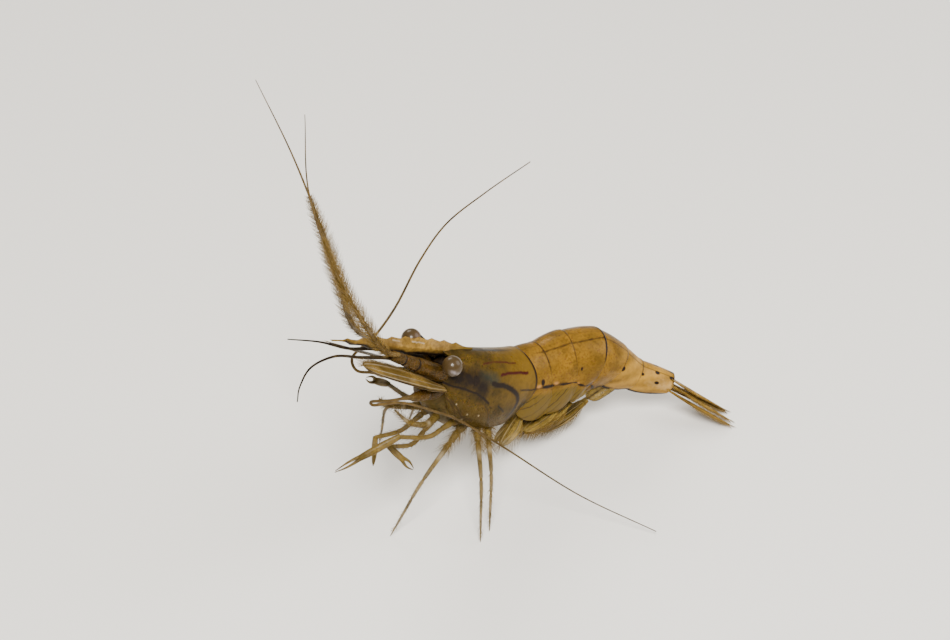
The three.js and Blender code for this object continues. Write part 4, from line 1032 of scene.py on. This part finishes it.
# ------------------------------------------------------------------ antennae
# The lower feelers: a stout jointed base, a broad thin ribbed scale with a fringe of
# hairs at its inner edge and tip, and a whip longer than the body.
BASE_FROM = (0.97, 0.15, -0.335)
BASE_TO = (1.38, 0.21, -0.37)
SCALE_FROM = (1.04, 0.225, -0.275)
SCALE_TO = (2.02, 0.190, -0.13)
SCALE_HALF = 1.28 * MM
SCALE_SLOPE = 18.0  # degrees down towards its outer edge
WHIP = {
    "left": [(1.6, 0.21, -0.4), (1.82, 0.22, -0.41), (1.87, 0.29, -0.4), (1.64, 0.34, -0.35),
             (1.25, 0.38, -0.4), (1.05, 0.43, -0.43), (0.57, 0.6, -0.58)],
    "right": [(1.5, -0.29, -0.4), (1.48, -0.4, -0.35), (1.24, -0.47, -0.17), (1.13, -0.48, 0.07),
              (1.01, -0.52, 0.49), (0.86, -0.54, 0.8), (0.52, -0.56, 1.11), (0.12, -0.56, 1.44)],
}
WHIP_LEFT_END = [(-0.4, -11.9, -8.2), (4.9, -16.5, -11.1)]
RIB_HIGH = 0.02 * MM
FRINGE_STEP = 0.07 * MM
SCALE_TINT = (0.210, 0.130, 0.030, 1.0)
SCALE_SHADE = (0.090, 0.055, 0.011, 1.0)


def blade(root, end, broad, half, widths, bow, rows=48, columns=22, thickness=0.09 * MM, ribs=9):
    """A thin leaf from root to end: widths gives its two edges, bow its arch across, and fine
    ribs run along it. Returns its mesh, the share along and across at each point, its grid."""
    t = np.linspace(0, 1, rows)[:, None]
    v = np.linspace(-1, 1, 2 * columns + 1)[None, :]
    way = end - root
    over = np.cross(broad, way)
    over = over / np.linalg.norm(over)
    if over @ UP < 0:
        over = -over
    inner, outer = widths(t)
    across = np.where(v < 0, v * inner, v * outer) * half
    arch = -bow * (v**2) * half * np.sin(math.pi * np.clip(t * 0.9 + 0.08, 0, 1))
    arch = arch + RIB_HIGH * np.cos(v * ribs * math.pi) * t
    grid = root + way * t[..., None] + broad * across[..., None] + over * arch[..., None]
    places, faces = thin_plate(grid, thickness, over)
    return places, faces, twice(t + 0 * v), twice(v + 0 * t), grid


def fringe(name, grid, bare, edges, length, spread=0.5):
    """Hairs along the edges of a blade's grid, of which the bare share next to the root has
    none. edges names its low edge, high edge and tip."""
    roots, ways, lengths, bends, uvs = [], [], [], [], []
    along = grid[-1, grid.shape[1] // 2] - grid[0, grid.shape[1] // 2]
    along = along / np.linalg.norm(along)
    lines = []
    first = int(grid.shape[0] * bare)
    if "low" in edges:
        lines.append((grid[first:, 0], grid[first:, 3], 0.0))
    if "high" in edges:
        lines.append((grid[first:, -1], grid[first:, -4], 1.0))
    if "tip" in edges:
        lines.append((grid[-1], grid[-4], 0.5))
    for line, inside, side in lines:
        reach = np.concatenate([[0], np.cumsum(np.linalg.norm(np.diff(line, axis=0), axis=1))])
        if reach[-1] <= 0:
            continue
        for k, far in enumerate(np.arange(0, reach[-1], FRINGE_STEP)):
            spot = np.array([np.interp(far, reach, line[:, c]) for c in range(3)])
            within = np.array([np.interp(far, reach, inside[:, c]) for c in range(3)])
            out = spot - within
            out = out / max(np.linalg.norm(out), 1e-9)
            way = out * spread + along * (1 - spread) + draw.normal(0, 0.05, 3)
            roots.append(spot)
            ways.append(way / np.linalg.norm(way))
            share = far / reach[-1]
            swell = 0.55 + 0.45 * math.sin(math.pi * min(1, 0.2 + share * 0.7))
            lengths.append(length * draw.uniform(0.8, 1.1) * swell)
            bends.append(along)
            uvs.append((0.05 + 0.9 * share, 0.05 + 0.85 * side))
    hairs(name, roots, ways, lengths, bends, uvs)


def scale_widths(t):
    """The scale's inner edge is round and its outer edge nearly straight."""
    end = np.sqrt(np.clip(1 - t**12, 0, 1))
    root = np.clip(0.45 + t * 2.6, 0, 1)
    inner = 0.55 + 0.5 * np.sin(math.pi * np.clip(t * 0.95, 0, 1))
    return inner * end * root, (0.62 - 0.12 * t) * end * root


def whip_path(side, count):
    end = on_side(SIDES[side], BASE_TO)
    spots = [end - FORWARD * 0.8 * MM, end + FORWARD * 0.12 * MM] + [at(*spot) for spot in WHIP[side]]
    if side == "left":
        spots += [HIND_EDGE + np.array(spot) * MM for spot in WHIP_LEFT_END]
    return through(spots, count)


base_shell = clear_shell("base_shell", STEM_TINT, STEM_SHADE, ("ink", "clear"), opaque=0.92)
scale_shell = clear_shell("scale_shell", SCALE_TINT, SCALE_SHADE, ("ink", "pale", "clear"),
                          opaque=0.95, spots=0.35)
for side, sign in SIDES.items():
    start = on_side(sign, BASE_FROM)
    end = on_side(sign, BASE_TO)
    t = np.linspace(0, 1, 50)
    radii = np.interp(t, [0, 0.25, 0.45, 0.5, 0.56, 0.85, 0.93, 1],
                      [0.28, 0.55, 0.54, 0.44, 0.5, 0.44, 0.34, 0.22]) * MM
    places, faces = closed_loft(tube(start + (end - start) * t[:, None], radii, 24))
    share = (places - start) @ (end - start) / ((end - start) @ (end - start))
    base_fields = {"ink": np.maximum(0.6 * bump(share, 0.5, 0.03), 0.5 * bump(share, 0.12, 0.14)),
                   "clear": 0.12}
    piece(f"antenna_base_skin_{side}", places, faces, base_shell,
          [f"antenna_base_{side}"], base_fields)
    root = on_side(sign, SCALE_FROM)
    tip = on_side(sign, SCALE_TO)
    slope = math.radians(SCALE_SLOPE)
    broad = LEFT * sign * math.cos(slope) - UP * math.sin(slope)
    places, faces, t, v, grid = blade(root, tip, broad, SCALE_HALF, scale_widths, 0.12)
    scale_fields = {
        "ink": np.maximum.reduce([0.85 * bump(v, 0.93, 0.07), 0.75 * bump(v, -0.97, 0.05),
                                  0.55 * np.clip(np.cos(v * 16) * 3 - 2, 0, 1) * (1 - 0.5 * t),
                                  0.40 * np.clip(np.cos(v * 27 + t * 4) * 3 - 2, 0, 1),
                                  # painted shade: the far (right) scale is darkened all over
                                  (0.55 if side == "right" else 0.0) + 0 * t]),
        "pale": 0.5 * np.clip(np.cos(v * 9 + 1 - t * 2) * 3 - 2.2, 0, 1),
        "clear": 0.12 + 0.08 * np.sin(v * 7 + t * 3),
    }
    piece(f"antenna_scale_blade_{side}", places, faces, scale_shell,
          [f"antenna_scale_{side}"], scale_fields)
    fringe(f"scale_fringe_{side}", grid, 0.25, ("low", "tip"), 0.95 * MM)
    path = whip_path(side, 900)
    t = np.linspace(0, 1, len(path))
    radii = np.interp(t, [0, 0.015, 0.05, 0.5, 1], [0.36, 0.28, 0.145, 0.10, 0.045]) * MM
    places, faces = closed_loft(tube(path, ringed(radii, 3), 8))
    fade = ring_values(t, 8, (0, 1))
    piece(f"antenna_whip_{side}", places, faces, feeler,
          [f"antenna_{side}_{part}" for part in (1, 2, 3)], {"ink": 0.30 + 0.2 * fade, "clear": 0.15})

# ------------------------------------------------------------------ tail fan
# A narrow telson on top and two pairs of clear uropods under it, folded close together,
# ribbed, dark at the root and fringed with hairs. Each blade: how far aside and above the
# tail's end it starts, its length, spread in degrees, half width and thickness in mm.
FAN = {
    "telson": (0.0, -0.020, 0.56, 0, 0.80, 0.10),
    "uropod_inner": (0.055, -0.068, 0.64, 2, 0.64, 0.13),
    "uropod_outer": (0.070, -0.115, 0.66, 4, 0.78, 0.11),
}
FAN_ROOT = 0.025  # how far inside the last plate the blades start
FAN_TINT = (0.390, 0.225, 0.032, 1.0)
FAN_SHADE = (0.160, 0.090, 0.016, 1.0)


def telson_widths(t):
    width = np.clip(0.95 + t, 0, 1) * (1 - 0.62 * t**0.9) * np.sqrt(np.clip(1 - t**14, 0, 1))
    return width, width


def uropod_widths(t):
    width = np.clip(0.45 + t * 1.2, 0, 1) * np.sqrt(np.clip(1 - t**6, 0, 1))
    return width, width * (0.9 - 0.1 * t)


fan_shell = clear_shell("fan_shell", FAN_TINT, FAN_SHADE, ("ink", "clear"), opaque=0.86, spots=0.45)
fan_origin = SPINE[-1][0]
fan_forward, fan_left, fan_up = directions(TAIL_YAW, TAIL_PITCH, TAIL_ROLL)
for kind, (aside, above, length, spread, half, thickness) in FAN.items():
    for side, sign in SIDES.items():
        if kind == "telson" and side == "right":
            continue
        turn = math.radians(spread)
        root = fan_origin + (FAN_ROOT * fan_forward + sign * aside * fan_left + above * fan_up) * CARAPACE
        end = root + (fan_left * sign * math.sin(turn) - fan_forward * math.cos(turn)) * length * CARAPACE
        end[2] = max(end[2], 0.28 * MM)
        widths = telson_widths if kind == "telson" else uropod_widths
        places, faces, t, v, grid = blade(root, end, fan_left * sign, half * MM, widths, 0.25,
                                          thickness=thickness * MM)
        places[:, 2] = np.maximum(places[:, 2], 0.02 * MM)
        fan_fields = {
            "ink": np.maximum.reduce([
                0.8 * bump(np.abs(v), 0.95, 0.06), 0.55 * bump(v, 0.0, 0.05),
                0.9 * bump(t, 0.05, 0.05) * bump(v, 0, 0.6),
                0.45 * np.clip(np.cos(v * 13) * 3 - 2, 0, 1), 0.6 * bump(t, 0.35, 0.12) * bump(v, 0.5, 0.3)]),
            "clear": 0.12 + 0.18 * t,
        }
        node = kind if kind == "telson" else f"{kind}_{side}"
        piece(f"{node}_blade", places, faces, fan_shell, [node], fan_fields)
        edges = ("tip",) if kind == "telson" else ("low", "high", "tip")
        fringe(f"{node}_fringe", grid, 0.35, edges, 0.7 * MM, 0.4)

# ------------------------------------------------------------------ swimming legs
# Five pairs under the tail, held forwards: a short stem and two long clear blades, ribbed
# lengthways and edged with long soft hairs, so that together they look streaked.
SWIM_SIDE = 0.115
SWIM_STEM = (0.95 * MM, 0.30 * MM)  # half width along the body, half thickness
SWIM_STEM_ROWS = SWIM_STEM_SIDES = 14
SWIM_HALF = 0.95 * MM
# How far each knee lies below the side plates, the blade's length, and how it droops.
SWIMMERETS = [(0.03, 0.30, 52), (0.02, 0.40, 10), (0.07, 0.46, 33), (0.17, 0.50, 66), (0.16, 0.46, 84)]
SWIM_TINT = (0.340, 0.225, 0.050, 1.0)
SWIM_SHADE = (0.160, 0.105, 0.022, 1.0)


def swim_widths(t):
    width = np.clip(0.4 + t * 1.6, 0, 1) * np.sqrt(np.clip(1 - t**4, 0, 1))
    return width, width


# How both blades are made: their edges, bow, rows, columns, thickness and ribs.
SWIM_LEAF = (swim_widths, 0.2, 40, 16, 0.08 * MM, 7)


def merged(parts):
    """Several meshes as one."""
    places, faces, count = [], [], 0
    for part_places, part_faces in parts:
        places.append(np.asarray(part_places))
        faces += [[corner + count for corner in face] for face in part_faces]
        count += len(part_places)
    return np.concatenate(places), faces


swim_shell = clear_shell("swim_shell", SWIM_TINT, SWIM_SHADE, ("ink", "pale", "clear"),
                         opaque=0.84, spots=0.3)
for side, sign in SIDES.items():
    for i, (below, length, droop) in enumerate(SWIMMERETS):
        _, _, depth, belly, yaw, pitch = SOMITES[i]
        forward, left, up = directions(yaw, pitch)
        middle = (SPINE[i][0] + SPINE[i + 1][0]) / 2
        place = lambda x, y, z: middle + (forward * x + left * y + up * z) * CARAPACE
        root = place(0, sign * SWIM_SIDE, 0.02 - belly)
        knee = place(0, sign * SWIM_SIDE, -depth - below)
        swing = math.radians(droop)
        reach = forward * math.cos(swing) - up * math.sin(swing)
        stem_t = np.linspace(0, 1, SWIM_STEM_ROWS)[:, None]
        stem_size = (1.22 - 0.1 * stem_t) * np.sqrt(1 - 0.97 * stem_t**8)
        stem = closed_loft(tube(root + (knee - root) * stem_t, stem_size * SWIM_STEM,
                                SWIM_STEM_SIDES, forward))
        inner_end = knee + (reach * length + left * sign * -0.03) * CARAPACE
        outer_end = knee + (reach * length * 1.04 + left * sign * 0.05 - up * 0.01) * CARAPACE
        outer = blade(knee, outer_end, left * sign, SWIM_HALF, *SWIM_LEAF)
        inner = blade(knee - up * 0.18 * MM, inner_end - up * 0.3 * MM, left * sign, SWIM_HALF * 0.8,
                      *SWIM_LEAF)
        places, faces = merged([stem, outer[:2], inner[:2]])
        round_stem = np.cos(np.linspace(0, 2 * math.pi, SWIM_STEM_SIDES, endpoint=False))
        stem_v = np.concatenate([np.tile(round_stem, SWIM_STEM_ROWS), [0, 0]])
        v = np.concatenate([stem_v, outer[3], inner[3]])
        t = np.concatenate([np.full(len(stem_v), 0.12), outer[2], inner[2]])
        swim_fields = {
            "ink": np.maximum(0.62 * np.clip(np.cos(v * 11 + i) * 3 - 1.8, 0, 1) * (t > 0),
                              0.6 * bump(np.abs(v), 0.97, 0.04)),
            "pale": 0.45 * np.clip(np.cos(v * 7 + 2 + i) * 3 - 2.2, 0, 1) * (t > 0.1),
            "clear": 0.14 + 0.2 * t,
        }
        piece(f"swim_leg_{i + 1}_{side}", places, faces, swim_shell,
              [f"swimmeret_{i + 1}_{side}"], swim_fields)
        fringe(f"swim_fringe_{i + 1}_{side}", outer[4], 0.15, ("low", "high", "tip"), 1.1 * MM)

# ------------------------------------------------------------------ walking legs
# Three thin jointed legs on each side, of six lengths with waists between them, which
# taper to a point on the ground. A brush of hairs stands at the root, and a few short ones
# along the lower half. Each row: number, place of the root, upper and lower length in mm,
# and where the left and right feet stand, in mm from the hind edge of the shield.
LEG_ROOT_SIDE = 0.1
LEG_ROOT_ABOVE = -0.63
WALKING_LEGS = [
    (3, 0.46, 7.0, 6.8, (-16.3, -5.3), (-11.6, 6.6)),
    (4, 0.32, 6.3, 6.5, (-9.4, -9.9), (-7.6, 8.4)),
    (5, 0.18, 6.0, 6.3, (-8.0, -9.0), (-2.6, 8.6)),
]
LEG_TAPER = ([0.0, 0.09, 0.18, 0.50, 0.66, 0.90, 1.0], [0.52, 0.35, 0.245, 0.17, 0.14, 0.10, 0.03])
# Hairs on a limb: from and to which share of it, how many, and how long.
LEG_HAIRS = (0.5, 0.97, 90, 0.35 * MM)
LEG_ROOT_HAIRS = (0.0, 0.26, 320, 0.95 * MM)
LIMB_SIDES = 14
LIMB_TINT = (0.190, 0.122, 0.028, 1.0)
LIMB_SHADE = (0.085, 0.055, 0.012, 1.0)


def knee_between(root, tip, upper, lower, outward):
    """Where the knee lies between a leg's root and tip, bent outward, for its two lengths."""
    line = tip - root
    distance = min(np.linalg.norm(line), upper + lower - 0.05 * MM)
    along = line / np.linalg.norm(line)
    reach = (upper**2 - lower**2 + distance**2) / (2 * distance)
    bend = outward - along * (outward @ along)
    bend = bend / np.linalg.norm(bend)
    return root + along * reach + bend * math.sqrt(max(0.2 * MM**2, upper**2 - reach**2))


def limb_radii(t, joints, radii):
    """Thickness of a jointed limb: a waist at each joint, a slight swelling between."""
    size = np.interp(t, joints, radii)
    waist = np.zeros(len(t))
    for joint in joints[1:-1]:
        waist = np.maximum(waist, bump(t, joint, 0.012))
    return size * (1.06 - 0.30 * waist) * MM, waist


def limb_fields(t, waist):
    fade = ring_values(t, LIMB_SIDES, (0, 1))
    return {"ink": ring_values(0.32 * waist, LIMB_SIDES), "clear": 0.10 + 0.14 * fade,
            "pale": 0.30 * bump(fade, 0.3, 0.08) + 0.3 * bump(fade, 0.78, 0.07)}


def limb_hairs(name, path, radii, first, last, count, length):
    """Short hairs scattered over a limb from the first to the last share of its length."""
    across = frames_along(path)
    roots, ways, lengths, bends, uvs = [], [], [], [], []
    for _ in range(count):
        k = int(draw.uniform(first, last) * (len(path) - 2))
        root, way, forward, turned = set_hair(path, across, radii, k, 0.7, 0.7)
        roots.append(root)
        ways.append(way)
        lengths.append(length * draw.uniform(0.6, 1.2))
        bends.append(forward)
        uvs.append((k / len(path), turned))
    hairs(name, roots, ways, lengths, bends, uvs)


leg_shell = clear_shell("leg_shell", LIMB_TINT, LIMB_SHADE, ("ink", "clear", "pale"),
                        opaque=0.90, spots=0.35)
for side, sign in SIDES.items():
    for number, ahead, upper, lower, left_foot, right_foot in WALKING_LEGS:
        foot = left_foot if side == "left" else right_foot
        root = at(ahead, sign * LEG_ROOT_SIDE, LEG_ROOT_ABOVE)
        tip = HIND_EDGE + np.array([foot[0] * MM, foot[1] * MM, 0.0])
        tip[2] = -0.3 * MM
        outward = LEFT * sign + FORWARD * 0.8 + np.array([0, 0, 1.5])
        knee = knee_between(root, tip, upper * MM, lower * MM, outward)
        near, far = knee + (root - knee) * 0.12, knee + (tip - knee) * 0.12
        spots = [root, (root + knee) / 2, near, far, far + (tip - far) * 0.55, tip]
        path = through(spots, 200)
        path = path[path[:, 2] > 0.04 * MM]
        t = np.linspace(0, 1, len(path))
        radii, waist = limb_radii(t, *LEG_TAPER)
        places, faces = closed_loft(tube(path, radii, LIMB_SIDES))
        piece(f"walking_leg_{number}_{side}", places, faces, leg_shell, [f"leg_{number}_{side}"],
              limb_fields(t, waist))
        limb_hairs(f"leg_hairs_{number}_{side}", path, radii, *LEG_HAIRS)
        limb_hairs(f"leg_root_hairs_{number}_{side}", path, radii, *LEG_ROOT_HAIRS)

# ------------------------------------------------------------------ claw legs
# The two front pairs end in slender pincers held clear of the ground; the first pair is
# the smaller. Each finger curves to a point, and short hairs stand on the arms.
CLAW_LEGS = [
    (2, 0.60, 0.12, {"left": [(0.95, 0.19, -0.72), (1.3, 0.18, -0.73), (1.64, 0, -1.13)],
                     "right": [(0.72, -0.33, -0.64), (1.0, -0.36, -0.54), (1.27, -0.37, -0.5)]}, 0.35),
    (1, 0.78, 0.055, {"left": [(0.93, 0.05, -0.86), (1.17, 0.03, -0.9), (0.94, 0.16, -1.03)],
                      "right": [(0.94, -0.1, -0.82), (1.14, -0.16, -0.92), (1.1, -0.1, -1.14)]}, 0.29),
]
FINGER_SHARE = 0.42  # the fingers' part of the length from wrist to tip
FINGER_OPEN = 0.22  # in mm, each finger to its side
ARM_TAPER = ([0, 0.12, 0.3, 0.62, 1.0], [0.36, 0.29, 0.22, 0.20, 0.18])
FINGER_TAPER = ([0, 0.3, 1], [0.19, 0.15, 0.03])
CLAW_HAIRS = (0.0, 0.97, 160, 0.36 * MM)
for side, sign in SIDES.items():
    for number, ahead, aside, bends_at, palm in CLAW_LEGS:
        root = at(ahead, sign * aside, LEG_ROOT_ABOVE + 0.03)
        knee, wrist, tip = [at(*spot) for spot in bends_at[side]]
        grip = wrist + (tip - wrist) * (1 - FINGER_SHARE)
        arm = through([root, (root + knee) / 2, knee, wrist], 120)
        t = np.linspace(0, 1, len(arm))
        arm_radii, waist = limb_radii(t, *ARM_TAPER)
        t_palm = np.linspace(0, 1, 40)
        palm_path = wrist + (grip - wrist) * (t_palm * 1.12 - 0.06)[:, None]
        palm_radii = (0.16 + (palm - 0.14) * np.sin(math.pi * np.clip(0.12 + t_palm * 0.7, 0, 1)) ** 0.8) * MM
        parts = [closed_loft(tube(arm, arm_radii, LIMB_SIDES)),
                 closed_loft(tube(palm_path, np.column_stack([palm_radii * 0.8, palm_radii]), LIMB_SIDES))]
        inks = [ring_values(0.4 * waist, LIMB_SIDES), ring_values(0.4 * bump(t_palm, 0.05, 0.05), LIMB_SIDES)]
        for way in (-1, 1):
            open_by = UP * way * FINGER_OPEN * MM
            finger = through([grip - (tip - grip) * 0.15 + open_by * 0.5,
                              grip + (tip - grip) * 0.5 + open_by * 1.25, tip + open_by * 0.35], 50)
            t_finger = np.linspace(0, 1, 50)
            finger_radii = np.interp(t_finger, *FINGER_TAPER) * MM
            parts.append(closed_loft(tube(finger, finger_radii, 10)))
            inks.append(ring_values(0.5 * t_finger**3, 10))
        places, faces = merged(parts)
        piece(f"claw_{number}_{side}", places, faces, leg_shell, [f"claw_leg_{number}_{side}"],
              {"ink": np.concatenate(inks), "clear": 0.08, "pale": 0})
        limb_hairs(f"claw_hairs_{number}_{side}", arm, arm_radii, *CLAW_HAIRS)

# ------------------------------------------------------------------ feeding limbs
# The third pair of jaw feet, held forward under the mouth, thin, jointed and hairy.
JAW_ROUTE = [(0.84, 0.09, -0.59), (1.0, 0.15, -0.63), (1.2, 0.15, -0.62), (1.36, 0.09, -0.54)]
JAW_TAPER = ([0, 0.3, 0.65, 1.0], [0.36, 0.27, 0.21, 0.07])
JAW_HAIRS = (0.1, 0.97, 320, 0.55 * MM)
for side, sign in SIDES.items():
    path = through([on_side(sign, spot) for spot in JAW_ROUTE], 130)
    t = np.linspace(0, 1, len(path))
    radii, waist = limb_radii(t, *JAW_TAPER)
    places, faces = closed_loft(tube(path, radii, LIMB_SIDES))
    piece(f"jaw_foot_{side}", places, faces, leg_shell, [f"maxilliped_{side}"],
          limb_fields(t, waist))
    limb_hairs(f"jaw_hairs_{side}", path, radii, *JAW_HAIRS)
